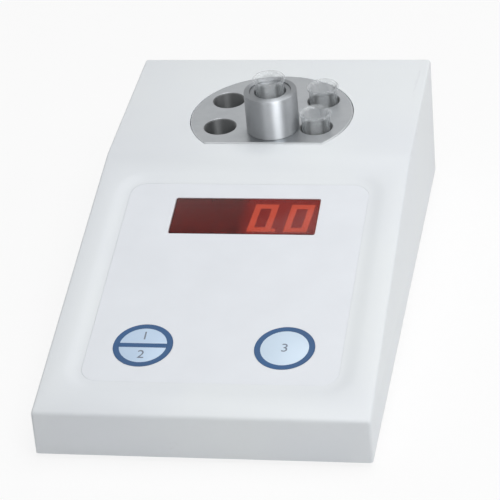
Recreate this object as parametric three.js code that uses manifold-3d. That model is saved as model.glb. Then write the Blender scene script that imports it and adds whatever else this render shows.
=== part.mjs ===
// A bench coagulation analyzer: a white wedge case with a keypad tray on its front slope and a
// heated metal block, with a raised measuring turret, let into its rear slope.
// Lengths are millimetres. +Z is up, +Y points to the rear, and +X is to the right of someone
// who sits in front of it. The origin is on the bench, under the middle of the whole object.

import * as THREE from "three";
import { mergeVertices } from "three/addons/utils/BufferGeometryUtils.js";
import Module from "manifold-3d";

const wasm = await Module();
wasm.setup();

// Case: a wedge whose deck has a steep front slope and an almost level rear slope.
const caseWidth = 110;
const frontHeight = 15.5;
const rearRise = 3.7;
const bendDepth = 129.2;
const caseWall = 2.5;
const caseEdgeRadius = 1.8;
const caseSideEdgeRadius = 1;
const bendRadius = 26;

// Clearance between pieces that seat on or run in each other, and how far a cut overruns.
const fitGap = 0.3;
const overrun = 1;

// Counts of sides for round pieces, from the largest to the smallest.
const largeSides = 48;
const boreSides = 32;
const smallSides = 20;
const tinySides = 12;
const cornerSegments = 4;

// Base plate, feet and the screws that close the case.
const baseThickness = 2;
const baseCornerRadius = 2;
const footHeight = 2;
const footRadius = 6;
const footChamfer = 0.5;
const footInset = 17;
const caseScrewInset = 8.5;
const caseScrewRadius = 1.5;
const caseScrewHeadRadius = 2.9;
const caseScrewHeadHeight = 1.4;
const caseScrewLength = 10;
const caseScrewDriveRadius = 1.2;
const caseScrewDriveDepth = 0.7;
const caseBossRadius = 4;

// Tray in the front slope. Places along a slope are measured from its front edge, and a land is
// the flat left beside something.
const traySideLand = 6.2;
const trayFrontPlace = 15.7;
const trayRearLand = 15.4;
const trayBevel = 5.8;
const trayDepth = 0.8;
const trayFloorThickness = 2;
const trayCornerRadius = 6;
const trayBevelSteps = 4;

// Keypad foil, let into the tray floor so that it is level with it.
const foilThickness = 0.6;
const foilLand = 0.5;

// Red display window and the four digits behind it.
const windowCentreX = 0.3;
const windowRearLand = 17.7;
const windowLength = 18.5;
const windowThickness = 0.8;
const windowCornerRadius = 0.5;
const digitPitch = 12.7;
const digitLength = 19;
const digitThickness = 8;
const digitCount = 4;

// Circuit boards, all of one thickness, and the pillars that carry them.
const boardThickness = 1.6;
const boardPillarRadius = 2;
const displayBoardMargin = 8;
const displayBoardEndMargin = 6;
const keyBoardSideRoom = 4;
const keyBoardHalfLength = 10;
const mainBoardSideRoom = 15;
const mainBoardFrontY = 48;
const mainBoardBendRoom = 17.2;
const mainBoardHeight = 7;
const boardPillarInset = 3.5;

// Two round keys, each on a stem over a small switch.
const keyMiddleX = -0.4;
const keySideLand = 19.4;
const keyPlace = 33.3;
const keyRadius = 9.75;
const keyThickness = 1;
const keyTravel = 0.5;
const keyPocketDepth = 1.2;
const keyStemRadius = 2.5;
const keyStemReach = 1.3;
const plungerRadius = 1.7;
const plungerHeight = 2.4;
const plungerShow = 1.2;
const keySwitchHalfWidth = 3.25;
const keySwitchHeight = 3.5;

// Heated block: a disc cut off straight at its front, its top just above the rear slope.
const blockCentreX = 1;
const blockCentrePlace = 28.2;
const blockFrontPlace = 7.4;
const blockRearLand = 14.8;
const blockProud = 0.3;
const blockEdge = 0.4;
const blockFlange = 4;
const blockFloor = 3.1;
const boreRadius = 5.75;
const boreOffsetX = 17.7;
const frontBorePlace = 19.3;
const rearBorePlace = 39.1;
const boreEdge = 0.4;
const boreRimWall = 3.263;
const insulationThickness = 4;
const insulationLift = 2.5;

// Measuring turret and the rotor in it.
const turretCentreX = 3;
const turretPlace = 18.9;
const turretRadius = 9.6;
const turretTop = 15.7;
const turretEdge = 0.5;
const rotorWall = 1.45;
const rotorDrop = 0.5;
const rotorFloor = 3;
const rotorShaftRadius = 3;
const rotorShaftEnd = 1.5;
const bearingOuterRadius = 8;
const bearingHeight = 4.5;
const ballSensorWidth = 8;
const ballSensorDepth = 3.4;
const ballSensorTop = 4;
const ballSensorHeight = 7;

// Belt drive under the block.
const motorSideGap = 1;
const motorPlace = -4;
const motorRadius = 10;
const motorHeadroom = 8;
const motorShaftRadius = 1;
const motorShaftInside = 12;
const drivePlateThickness = 1.6;
const drivePlateMargin = 3;
const rotorGrooveRadius = 10.5;
const motorGrooveRadius = 4.2;
const pulleyFlange = 1.5;
const pulleyHeight = 6;
const driveRoom = 8.5;
const beltWidth = 3.4;
const beltThickness = 0.8;

// Heaters and the temperature sensor on the underside of the block.
const heaterOffsetX = 21;
const heaterPlace = 44;
const heaterWidth = 16;
const heaterLength = 10;
const heaterHeight = 4.5;
const sensorPlace = 44;
const sensorRadius = 1.5;
const sensorLength = 12;
const sensorDepth = 9;

// Posts that carry the block: x from the block's centre, and place on the rear slope.
const postRadius = 2.5;
const frontPostX = 24;
const frontPostPlace = 13;
const leftPostX = -27;
const leftPostPlace = 33;
const rearPostX = 5;
const rearPostPlace = 54;

// Cuvettes and the steel balls in them.
const cuvetteLength = 29.1;
const cuvetteRadius = 5.2;
const cuvetteWall = 0.75;
const cuvetteRimRadius = 5.85;
const cuvetteRimHeight = 1.1;
const cuvetteToe = 1.6;
const cuvetteShow = 6.2;
const measuringCuvetteShow = 5;
const ballRadius = 1.6;

// Recess in the rear wall, with the power inlet and the rocker switch.
const recessSideRoom = 17;
const recessBottom = 4;
const recessTop = 19.6;
const recessDepth = 4;
const recessPad = 1.7;
const inletX = 22;
const inletHeight = 11.8;
const inletRadius = 4;
const inletFlangeRadius = 6;
const inletFlangeThickness = 1.2;
const inletLength = 12;
const inletBoreRadius = 3.15;
const inletBoreDepth = 9;
const inletPinRadius = 1;
const rockerX = -20;
const rockerHalfLength = 8;
const rockerHalfWidth = 5;
const rockerEndHeight = 2.2;
const rockerValleyHeight = 0.6;
const rockerRootDepth = 3;
const rockerRootShare = 0.86;
const rockerPivotDepth = 1;
const rockerPinRadius = 1;
const rockerPinReach = 0.8;
const rockerRestDegrees = 8;
const rockerSwing = 0.8;
const switchWall = 1.3;
const switchFloorDepth = 5.4;
const switchDepth = 10;
const switchBezel = 1;
const switchBezelHeight = 1.2;

// Parts on the main board: the room from its side and rear edges to each centre, then its size.
const chipSideRoom = 18;
const chipRearRoom = 32;
const chipWidth = 14;
const chipHeight = 2;
const regulatorSideRoom = 15;
const regulatorRearRoom = 14;
const regulatorWidth = 10;
const regulatorDepth = 4.6;
const regulatorHeight = 9;
const buzzerSideRoom = 13;
const buzzerRearRoom = 16;
const buzzerRadius = 6;
const buzzerHeight = 6.5;
const buzzerHoleRadius = 1.2;
const buzzerHoleDepth = 2;

// Flat cables and the lead from the inlet.
const ribbonThickness = 1;
const ribbonWidth = 20;
const ribbonBow = 3;
const displayRibbonOffset = 11.8;
const displayRibbonFootRoom = 20;
const keyRibbonOffset = 3.8;
const keyRibbonFootRoom = 4;
const leadRadius = 1.5;
const leadHeight = 5;
const leadSideRoom = 10;
const leadEndSideRoom = 4;
const leadEndRoom = 6;
const leadStraight = 6;
const leadDrop = 18;
const leadSteps = 30;
const leadSides = 8;

// Vertices closer than this are one vertex.
const weldDistance = 0.0001;

// Colours and finishes.
const finishes = {
  whiteCase: { color: 0xe6e9ed, roughness: 0.42, metalness: 0 },
  whiteFoil: { color: 0xe9ecef, roughness: 0.35, metalness: 0 },
  redWindow: { color: 0x4a1412, roughness: 0.15, metalness: 0 },
  digitFace: { color: 0x2a2426, roughness: 0.5, metalness: 0 },
  board: { color: 0x2e6b46, roughness: 0.55, metalness: 0 },
  blackPlastic: { color: 0x26282b, roughness: 0.5, metalness: 0 },
  whitePlunger: { color: 0xd8d8d4, roughness: 0.5, metalness: 0 },
  blockMetal: { color: 0xa9adb1, roughness: 0.32, metalness: 1 },
  turretMetal: { color: 0xc3c7cb, roughness: 0.22, metalness: 1 },
  sheetSteel: { color: 0xb4b7ba, roughness: 0.4, metalness: 1 },
  polishedSteel: { color: 0xc9cbce, roughness: 0.12, metalness: 1 },
  brass: { color: 0xb9973f, roughness: 0.3, metalness: 1 },
  rubber: { color: 0x2b2c2e, roughness: 0.85, metalness: 0 },
  foam: { color: 0x4a4d50, roughness: 0.95, metalness: 0 },
  clearPlastic: { color: 0xdfe6ea, roughness: 0.08, metalness: 0 },
  greyCable: { color: 0x9a9da1, roughness: 0.6, metalness: 0 },
};

// Geometry helpers.

// A closed solid for joining and cutting, from any closed geometry.
function solidFrom(geometry) {
  const bare = geometry.clone();
  bare.deleteAttribute("normal");
  bare.deleteAttribute("uv");
  const welded = mergeVertices(bare, weldDistance);
  const corners = welded.index.array;
  const kept = [];
  for (let i = 0; i < corners.length; i += 3) {
    const [a, b, c] = [corners[i], corners[i + 1], corners[i + 2]];
    if (a !== b && b !== c && c !== a) kept.push(a, b, c);
  }
  return new wasm.Manifold(new wasm.Mesh({
    numProp: 3,
    vertProperties: new Float32Array(welded.attributes.position.array),
    triVerts: new Uint32Array(kept),
  }));
}

function geometryFrom(solid) {
  const mesh = solid.getMesh();
  const geometry = new THREE.BufferGeometry();
  geometry.setAttribute("position", new THREE.BufferAttribute(mesh.vertProperties, 3));
  geometry.setIndex(new THREE.BufferAttribute(mesh.triVerts, 1));
  return geometry;
}

function join(...geometries) {
  return geometryFrom(geometries.map(solidFrom).reduce((whole, more) => whole.add(more)));
}

function cut(body, ...tools) {
  return geometryFrom(tools.map(solidFrom).reduce((left, tool) => left.subtract(tool), solidFrom(body)));
}

// A box between two corners.
function slab(x0, x1, y0, y1, z0, z1) {
  const geometry = new THREE.BoxGeometry(x1 - x0, y1 - y0, z1 - z0);
  return geometry.translate((x0 + x1) / 2, (y0 + y1) / 2, (z0 + z1) / 2);
}

// An upright cylinder.
function rod(radius, z0, z1, x = 0, y = 0, sides = smallSides) {
  const geometry = new THREE.CylinderGeometry(radius, radius, z1 - z0, sides);
  geometry.rotateX(Math.PI / 2);
  return geometry.translate(x, y, (z0 + z1) / 2);
}

// A turned solid about +Z, from [radius, height] points that run up its outside.
function turned(profile, x = 0, y = 0, sides = boreSides) {
  const points = profile.map(([radius, height]) => new THREE.Vector2(radius, height));
  const geometry = new THREE.LatheGeometry(points, sides);
  geometry.rotateX(Math.PI / 2);
  return geometry.translate(x, y, 0);
}

// An upright tube, with its upper outer edge broken by a small chamfer if one is given.
function sleeve(outer, inner, z0, z1, x = 0, y = 0, edge = 0, sides = boreSides) {
  const outside = [[outer, z0], [outer, z1 - edge], [outer - edge, z1]];
  const profile = [[inner, z0], ...outside, [inner, z1], [inner, z0]];
  return turned(edge > 0 ? profile : profile.filter((point, i) => i !== 3), x, y, sides);
}

// A flat outline raised between two heights.
function raise(outline, z0, z1, curveSegments = cornerSegments) {
  const geometry = new THREE.ExtrudeGeometry(outline, { depth: z1 - z0, bevelEnabled: false, curveSegments });
  return geometry.translate(0, 0, z0);
}

function roundedRectangle(halfWidth, halfLength, radius, x = 0, y = 0) {
  const right = x + halfWidth - radius;
  const left = x - halfWidth + radius;
  const rear = y + halfLength - radius;
  const front = y - halfLength + radius;
  const outline = new THREE.Shape();
  outline.absarc(right, rear, radius, 0, Math.PI / 2);
  outline.absarc(left, rear, radius, Math.PI / 2, Math.PI);
  outline.absarc(left, front, radius, Math.PI, Math.PI * 1.5);
  outline.absarc(right, front, radius, Math.PI * 1.5, Math.PI * 2);
  return outline;
}

// A disc cut off by a straight chord across its front.
function cutDisc(radius, chordPlace) {
  const start = Math.asin((chordPlace - blockCentrePlace) / radius);
  const outline = new THREE.Shape();
  outline.absarc(blockCentreX, blockCentrePlace, radius, start, Math.PI - start);
  outline.closePath();
  return outline;
}

// The outline that a tight belt takes round two circles.
function beltOutline(ax, ay, ra, bx, by, rb) {
  const distance = Math.hypot(bx - ax, by - ay);
  const along = Math.atan2(by - ay, bx - ax);
  const spread = Math.acos((ra - rb) / distance);
  const outline = new THREE.Shape();
  outline.absarc(ax, ay, ra, along + spread, along + Math.PI * 2 - spread);
  outline.absarc(bx, by, rb, along - spread, along + spread);
  outline.closePath();
  return outline;
}

// A closed polygon of [along, up, corner radius] points, with its corners rounded.
function roundedPolygon(points) {
  const outline = new THREE.Shape();
  points.forEach(([x, y, radius], i) => {
    const corner = new THREE.Vector2(x, y);
    const before = new THREE.Vector2(...points.at(i - 1)).sub(corner).normalize();
    const after = new THREE.Vector2(...points[(i + 1) % points.length]).sub(corner).normalize();
    const reach = radius / Math.tan(Math.acos(before.dot(after)) / 2);
    const start = corner.clone().addScaledVector(before, reach);
    const end = corner.clone().addScaledVector(after, reach);
    if (i === 0) outline.moveTo(start.x, start.y);
    else outline.lineTo(start.x, start.y);
    if (radius > 0) outline.quadraticCurveTo(x, y, end.x, end.y);
  });
  outline.closePath();
  return outline;
}

// Turns a side view, drawn as [y, z] and raised along its own depth, to run along +X.
const sideView = new THREE.Matrix4().makeBasis(
  new THREE.Vector3(0, 1, 0),
  new THREE.Vector3(0, 0, 1),
  new THREE.Vector3(1, 0, 0),
);

// A solid through rings that have the same number of points, each ring above the last.
function loft(rings) {
  const count = rings[0].length;
  const positions = rings.flat().flatMap((point) => [point.x, point.y, point.z]);
  const index = [];
  for (let level = 0; level < rings.length - 1; level += 1) {
    for (let i = 0; i < count; i += 1) {
      const a = level * count + i;
      const b = level * count + ((i + 1) % count);
      index.push(a, b, b + count, a, b + count, a + count);
    }
  }
  const last = (rings.length - 1) * count;
  for (let i = 1; i < count - 1; i += 1) {
    index.push(0, i + 1, i);
    index.push(last, last + i, last + i + 1);
  }
  const geometry = new THREE.BufferGeometry();
  geometry.setAttribute("position", new THREE.Float32BufferAttribute(positions, 3));
  geometry.setIndex(index);
  return geometry;
}

function ringAt(outline, z) {
  const points = outline.getPoints(cornerSegments).map((point) => new THREE.Vector3(point.x, point.y, z));
  return points.filter((point, i) => point.distanceTo(points.at(i - 1)) > weldDistance);
}

// Sizes that follow from the ones above. The block is as deep as its cuvettes need, the case as
// high as the block and its drive need, and the rear slope as long as the block needs.
const boreDepth = cuvetteLength - cuvetteShow + fitGap;
const blockBottom = boreDepth + blockFloor - blockProud;
const driveDepth = blockBottom + drivePlateThickness + pulleyHeight + 3 * fitGap;
const rotorShaftBottom = driveDepth + rotorShaftEnd;
const bendHeight = driveDepth + driveRoom;
const rearHeight = bendHeight + rearRise;
const boreReach = Math.hypot(boreOffsetX, rearBorePlace - blockCentrePlace) + boreRadius;
const blockRadius = boreReach + boreRimWall;
const caseDepth = bendDepth + blockCentrePlace + blockRadius + blockRearLand;
const trayHalfWidth = caseWidth / 2 - traySideLand - trayBevel;
const trayRearPlace = Math.hypot(bendDepth, bendHeight - frontHeight) - trayRearLand;
const windowCentrePlace = trayRearPlace - windowRearLand;
const windowWidth = digitPitch * digitCount;
const keyOffsetX = trayHalfWidth - keySideLand;
const keyBoardHalfWidth = trayHalfWidth - keyBoardSideRoom;
const mainBoardHalfWidth = caseWidth / 2 - mainBoardSideRoom;
const mainBoardRearY = bendDepth - mainBoardBendRoom;
const motorX = motorRadius + motorSideGap + caseWall - caseWidth / 2;
const motorLength = blockBottom - motorHeadroom;
const recessHalfWidth = caseWidth / 2 - recessSideRoom;

// Scene graph: the case stands on its feet, and each slope of the deck has its own group, whose
// +Y runs up the slope from its front edge and whose +Z stands square to it.

const analyzer = new THREE.Group();
const deckCase = new THREE.Group();
deckCase.position.set(0, -caseDepth / 2, footHeight);
analyzer.add(deckCase);

function slopeGroup(y, z, slope) {
  const group = new THREE.Group();
  group.position.set(0, y, z);
  group.rotation.x = slope;
  group.updateMatrix();
  deckCase.add(group);
  return group;
}

const frontSlope = Math.atan2(bendHeight - frontHeight, bendDepth);
const rearSlope = Math.atan2(rearHeight - bendHeight, caseDepth - bendDepth);
const frontDeck = slopeGroup(0, frontHeight, frontSlope);
const rearDeck = slopeGroup(bendDepth, bendHeight, rearSlope);

// The same shape, given on a slope, in the case's own upright frame.
function fromDeck(deck, geometry) {
  return geometry.clone().applyMatrix4(deck.matrix);
}

// A point on a slope, or below it, in the case's own upright frame.
function deckPoint(deck, place, depth) {
  return new THREE.Vector3(0, place, depth).applyMatrix4(deck.matrix);
}

// Adds one solid, in its own named node, to a group.
function piece(parent, name, geometry, finish) {
  const mesh = new THREE.Mesh(geometryFrom(solidFrom(geometry)), new THREE.MeshStandardMaterial(finish));
  mesh.name = name;
  parent.add(mesh);
  return mesh;
}

// Levels that several pieces share, below each slope's surface.
const trayFloor = -trayDepth;
const foilSeat = trayFloor - foilThickness - fitGap;
const trayUnderside = foilSeat - trayFloorThickness;
const foilTop = trayFloor;
const windowUnderside = foilTop - windowThickness;
const digitTop = windowUnderside - fitGap;
const displayBoardTop = digitTop - digitThickness - fitGap;
const displayBoardUnderside = displayBoardTop - boardThickness;
const keyStemBottom = trayUnderside - keyStemReach;
const plungerTop = keyStemBottom - fitGap;
const keySwitchTop = plungerTop - plungerShow;
const keyBoardTop = keySwitchTop - keySwitchHeight - fitGap;
const keyBoardUnderside = keyBoardTop - boardThickness;
const blockBodyTop = -caseWall - fitGap;
const turretBottom = blockProud + fitGap;
const cuvetteTopInTurret = turretTop + measuringCuvetteShow;
const cuvetteTopInBlock = blockProud + cuvetteShow;
const rotorCupFloor = cuvetteTopInTurret - cuvetteLength - fitGap;
const rotorCupBottom = rotorCupFloor - rotorFloor;
const bearingPocketTop = fitGap - rotorCupBottom;
const rotorRadius = boreRadius + rotorWall;
const drivePlateTop = -blockBottom - fitGap;
const drivePlateBottom = drivePlateTop - drivePlateThickness;
const pulleyTop = drivePlateBottom - 2 * fitGap;
const pulleyBottom = pulleyTop - pulleyHeight;

// Half sizes and levels of the circuit boards.
const digitsHalfWidth = windowWidth / 2;
const displayBoardHalfWidth = digitsHalfWidth + displayBoardMargin;
const displayBoardHalfLength = digitLength / 2 + displayBoardEndMargin;
const mainBoardCentreY = (mainBoardFrontY + mainBoardRearY) / 2;
const mainBoardHalfLength = (mainBoardRearY - mainBoardFrontY) / 2;
const onBoard = mainBoardHeight + boardThickness + fitGap;

// Middle and half length of the tray.
const trayCentrePlace = (trayFrontPlace + trayRearPlace) / 2;
const trayHalfLength = (trayRearPlace - trayFrontPlace) / 2;

function fourCorners(x, y, halfX, halfY, inset) {
  const corners = [];
  for (const right of [-1, 1]) {
    for (const rear of [-1, 1]) {
      corners.push([x + right * (halfX - inset), y + rear * (halfY - inset)]);
    }
  }
  return corners;
}

const caseScrewPlaces = fourCorners(0, caseDepth / 2, caseWidth / 2, caseDepth / 2, caseScrewInset);
const footPlaces = fourCorners(0, caseDepth / 2, caseWidth / 2, caseDepth / 2, footInset);
const cornerNames = ["front_left", "rear_left", "front_right", "rear_right"];

// Upper shell: outer wedge less its hollow, then the tray floor, bosses and pillars inside it,
// then every opening.

// Height of the deck over the bottom of the case.
function deckHeight(y) {
  if (y < bendDepth) return frontHeight + y * Math.tan(frontSlope);
  return bendHeight + (y - bendDepth) * Math.tan(rearSlope);
}

// Side view of the wedge, or of its hollow, one wall inside it.
function caseOutline(wall) {
  const rise = (slope) => wall / Math.cos(slope);
  const bendShift = (rise(frontSlope) - rise(rearSlope)) / (Math.tan(frontSlope) - Math.tan(rearSlope));
  const bendY = bendDepth + bendShift;
  const topAt = (y) => (y < bendY
    ? frontHeight + y * Math.tan(frontSlope) - rise(frontSlope)
    : bendHeight + (y - bendDepth) * Math.tan(rearSlope) - rise(rearSlope));
  const edge = Math.max(caseEdgeRadius - wall, 0);
  return roundedPolygon([
    [wall, -footHeight, 0],
    [caseDepth - wall, -footHeight, 0],
    [caseDepth - wall, topAt(caseDepth - wall), edge],
    [bendY, topAt(bendY), bendRadius],
    [wall, topAt(wall), edge],
  ]);
}

function outerWedge() {
  const wedge = new THREE.ExtrudeGeometry(caseOutline(0), {
    depth: caseWidth - 2 * caseSideEdgeRadius,
    bevelThickness: caseSideEdgeRadius,
    bevelSize: caseSideEdgeRadius,
    bevelOffset: -caseSideEdgeRadius,
    bevelSegments: cornerSegments - 1,
    curveSegments: cornerSegments,
  });
  wedge.translate(0, 0, caseSideEdgeRadius - caseWidth / 2).applyMatrix4(sideView);
  return cut(wedge, slab(-caseWidth, caseWidth, -overrun, caseDepth + overrun, -footHeight - overrun, 0));
}

function innerHollow() {
  const hollow = raise(caseOutline(caseWall), caseWall - caseWidth / 2, caseWidth / 2 - caseWall);
  return hollow.applyMatrix4(sideView);
}

function trayTool() {
  const rings = [];
  for (let step = 0; step <= trayBevelSteps; step += 1) {
    const share = step / trayBevelSteps;
    const grow = trayBevel * share;
    const [halfWidth, halfLength] = [trayHalfWidth + grow, trayHalfLength + grow];
    const outline = roundedRectangle(halfWidth, halfLength, trayCornerRadius + grow, 0, trayCentrePlace);
    rings.push(ringAt(outline, trayFloor * (1 - THREE.MathUtils.smoothstep(share, 0, 1))));
  }
  rings.push(rings.at(-1).map((point) => point.clone().setZ(overrun)));
  return loft(rings);
}

function trayBacking() {
  const halfWidth = trayHalfWidth + trayBevel;
  const halfLength = trayHalfLength + trayBevel;
  const outline = roundedRectangle(halfWidth, halfLength, trayCornerRadius, 0, trayCentrePlace);
  return raise(outline, trayUnderside, -caseWall / 2);
}

function boardPillars(x, y, halfWidth, halfLength, top, bottom) {
  return fourCorners(x, y, halfWidth, halfLength, boardPillarInset)
    .map(([px, py]) => rod(boardPillarRadius, bottom, top, px, py, tinySides));
}

function caseBosses() {
  return caseScrewPlaces.map(([x, y]) => {
    const top = deckHeight(Math.max(y - caseBossRadius, 0)) - caseWall / 2;
    return rod(caseBossRadius, baseThickness + fitGap, top, x, y);
  });
}

// The foil's seat in the tray floor, or the foil itself, one gap smaller.
function foilOutline(gap) {
  const [halfWidth, halfLength] = [trayHalfWidth - foilLand - gap, trayHalfLength - foilLand - gap];
  return roundedRectangle(halfWidth, halfLength, trayCornerRadius - gap, 0, trayCentrePlace);
}

function upperShell() {
  const shell = cut(outerWedge(), innerHollow());
  const recessBack = caseDepth - recessDepth;
  const added = [
    fromDeck(frontDeck, trayBacking()),
    ...boardPillars(windowCentreX, windowCentrePlace, displayBoardHalfWidth, displayBoardHalfLength,
      trayUnderside + trayFloorThickness / 2, displayBoardTop + fitGap)
      .map((pillar) => fromDeck(frontDeck, pillar)),
    ...boardPillars(keyMiddleX, keyPlace, keyBoardHalfWidth, keyBoardHalfLength,
      trayUnderside + trayFloorThickness / 2, keyBoardTop + fitGap)
      .map((pillar) => fromDeck(frontDeck, pillar)),
    ...caseBosses(),
    slab(-recessHalfWidth - recessPad, recessHalfWidth + recessPad, recessBack - caseWall,
      caseDepth - caseWall / 2, recessBottom - recessPad, recessTop + recessPad),
  ];
  const openings = [
    fromDeck(frontDeck, trayTool()),
    fromDeck(frontDeck, raise(foilOutline(0), foilSeat, overrun)),
    fromDeck(frontDeck, raise(roundedRectangle(digitsHalfWidth + fitGap, digitLength / 2 + fitGap,
      windowCornerRadius, windowCentreX, windowCentrePlace), trayUnderside - overrun, overrun)),
    fromDeck(rearDeck, raise(cutDisc(blockRadius + fitGap, blockFrontPlace - fitGap),
      -caseWall - overrun, overrun, largeSides / 2)),
    slab(-recessHalfWidth, recessHalfWidth, recessBack, caseDepth + overrun, recessBottom, recessTop),
    slab(rockerX - rockerHalfLength - rockerSwing - switchWall - fitGap,
      rockerX + rockerHalfLength + rockerSwing + switchWall + fitGap,
      recessBack - caseWall - overrun, recessBack + overrun,
      inletHeight - rockerHalfWidth - fitGap - switchWall - fitGap,
      inletHeight + rockerHalfWidth + fitGap + switchWall + fitGap),
    rod(inletRadius + fitGap, -overrun, caseWall + overrun, 0, 0)
      .rotateX(-Math.PI / 2).translate(inletX, recessBack - caseWall, inletHeight),
  ];
  for (const side of [-1, 1]) {
    const x = keyMiddleX + side * keyOffsetX;
    const pocketFloor = foilSeat - keyPocketDepth;
    const pocket = rod(keyRadius + fitGap, pocketFloor, overrun, x, keyPlace, boreSides);
    const stemHole = rod(keyStemRadius + fitGap, trayUnderside - overrun, overrun, x, keyPlace);
    openings.push(fromDeck(frontDeck, pocket), fromDeck(frontDeck, stemHole));
  }
  for (const [x, y] of caseScrewPlaces) {
    openings.push(rod(caseScrewRadius + fitGap, 0, caseScrewLength + fitGap, x, y, tinySides));
  }
  return cut(join(shell, ...added), ...openings);
}

piece(deckCase, "upper_shell", upperShell(), finishes.whiteCase);

// Front slope: foil, window, digits, keys and their boards.

function windowOutline(gap) {
  return roundedRectangle(windowWidth / 2 + gap, windowLength / 2 + gap, windowCornerRadius + gap,
    windowCentreX, windowCentrePlace);
}

function keypadFoil() {
  const openings = [raise(windowOutline(fitGap), foilSeat, 0)];
  for (const side of [-1, 1]) {
    openings.push(rod(keyRadius + fitGap, foilSeat, 0, keyMiddleX + side * keyOffsetX, keyPlace, boreSides));
  }
  return cut(raise(foilOutline(fitGap), foilSeat + fitGap, foilTop), ...openings);
}

piece(frontDeck, "front_foil", keypadFoil(), finishes.whiteFoil);
piece(frontDeck, "display_window", raise(windowOutline(0), windowUnderside, foilTop), finishes.redWindow);

for (let digit = 0; digit < digitCount; digit += 1) {
  const x = windowCentreX + (digit - (digitCount - 1) / 2) * digitPitch;
  const halfWidth = (digitPitch - fitGap) / 2;
  const y = windowCentrePlace;
  const body = slab(x - halfWidth, x + halfWidth, y - digitLength / 2, y + digitLength / 2,
    digitTop - digitThickness, digitTop);
  piece(frontDeck, `digit_${digit + 1}`, body, finishes.digitFace);
}

function boardOn(x, y, halfWidth, halfLength, underside) {
  const top = underside + boardThickness;
  return slab(x - halfWidth, x + halfWidth, y - halfLength, y + halfLength, underside, top);
}

piece(frontDeck, "display_board", boardOn(windowCentreX, windowCentrePlace, displayBoardHalfWidth,
  displayBoardHalfLength, displayBoardUnderside), finishes.board);
piece(frontDeck, "key_board", boardOn(keyMiddleX, keyPlace, keyBoardHalfWidth, keyBoardHalfLength,
  keyBoardUnderside), finishes.board);

for (const [name, side] of [["left", -1], ["right", 1]]) {
  const x = keyMiddleX + side * keyOffsetX;
  const cap = join(
    rod(keyRadius, foilTop - keyThickness, foilTop, x, keyPlace, boreSides),
    rod(keyStemRadius, keyStemBottom, foilTop - keyThickness / 2, x, keyPlace),
  );
  const plungerBottom = plungerTop - plungerHeight;
  const plunger = rod(plungerRadius, plungerBottom, plungerTop, x, keyPlace, tinySides);
  const housing = slab(x - keySwitchHalfWidth, x + keySwitchHalfWidth, keyPlace - keySwitchHalfWidth,
    keyPlace + keySwitchHalfWidth, keySwitchTop - keySwitchHeight, keySwitchTop);
  const well = rod(plungerRadius + fitGap, plungerBottom - keyTravel - fitGap, keySwitchTop + overrun,
    x, keyPlace, tinySides);
  piece(frontDeck, `${name}_key`, cap, finishes.whiteFoil);
  piece(frontDeck, `${name}_key_plunger`, plunger, finishes.whitePlunger);
  piece(frontDeck, `${name}_key_switch`, cut(housing, well), finishes.blackPlastic);
}

// Rear slope: block, turret, rotor and drive.

// An upright bore with its mouth broken by a small chamfer.
function bore(radius, bottom, top, edge, x, y) {
  return turned([[0, bottom], [radius, bottom], [radius, top - edge], [radius + edge, top],
    [radius + edge, top + overrun], [0, top + overrun]], x, y);
}

const boreX = [blockCentreX - boreOffsetX, blockCentreX + boreOffsetX];
const bodyRadius = blockRadius + blockFlange;
const bodyFrontPlace = blockFrontPlace - blockFlange;

function ballSensorBox(gap) {
  const front = bodyFrontPlace + fitGap;
  return slab(turretCentreX - ballSensorWidth / 2 - gap, turretCentreX + ballSensorWidth / 2 + gap,
    gap > 0 ? bodyFrontPlace - overrun : front, front + ballSensorDepth + gap,
    -ballSensorTop - ballSensorHeight - gap, -ballSensorTop + gap);
}

function heaterBlock() {
  const proud = new THREE.ExtrudeGeometry(cutDisc(blockRadius, blockFrontPlace), {
    depth: blockProud - blockBodyTop,
    bevelThickness: blockEdge,
    bevelSize: blockEdge,
    bevelOffset: -blockEdge,
    bevelSegments: 1,
    curveSegments: largeSides / 2,
  });
  proud.translate(0, 0, blockBodyTop - blockEdge);
  const body = raise(cutDisc(bodyRadius, bodyFrontPlace), -blockBottom, blockBodyTop, largeSides / 2);
  const below = -blockBottom - overrun;
  const tools = [
    rod(rotorRadius + fitGap, below, blockProud + overrun, turretCentreX, turretPlace, boreSides),
    rod(bearingOuterRadius + fitGap, below, -bearingPocketTop, turretCentreX, turretPlace, boreSides),
    rod(sensorRadius + fitGap, below, sensorDepth - blockBottom, blockCentreX, sensorPlace, tinySides),
    ballSensorBox(fitGap),
  ];
  for (const x of boreX) {
    for (const y of [frontBorePlace, rearBorePlace]) {
      tools.push(bore(boreRadius, blockProud - boreDepth, blockProud, boreEdge, x, y));
    }
  }
  return cut(join(proud, body), ...tools);
}

piece(rearDeck, "heater_block", heaterBlock(), finishes.blockMetal);
piece(rearDeck, "block_insulation", cut(
  raise(cutDisc(bodyRadius + fitGap + insulationThickness, bodyFrontPlace - fitGap - insulationThickness),
    insulationLift - blockBottom, blockBodyTop - fitGap),
  raise(cutDisc(bodyRadius + fitGap, bodyFrontPlace - fitGap), -blockBottom, overrun, largeSides / 2),
  rod(motorRadius + fitGap, -blockBottom, overrun, motorX, motorPlace, boreSides),
), finishes.foam);
piece(rearDeck, "measuring_turret",
  sleeve(turretRadius, rotorRadius + fitGap, turretBottom, turretTop, turretCentreX, turretPlace, turretEdge),
  finishes.turretMetal);

const rotorTop = turretTop - rotorDrop;
piece(rearDeck, "rotor_cup", turned([
  [0, -rotorShaftBottom],
  [rotorShaftRadius, -rotorShaftBottom],
  [rotorShaftRadius, rotorCupBottom],
  [rotorRadius, rotorCupBottom],
  [rotorRadius, rotorTop],
  [boreRadius, rotorTop],
  [boreRadius, rotorCupFloor],
  [0, rotorCupFloor],
], turretCentreX, turretPlace), finishes.turretMetal);

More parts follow.
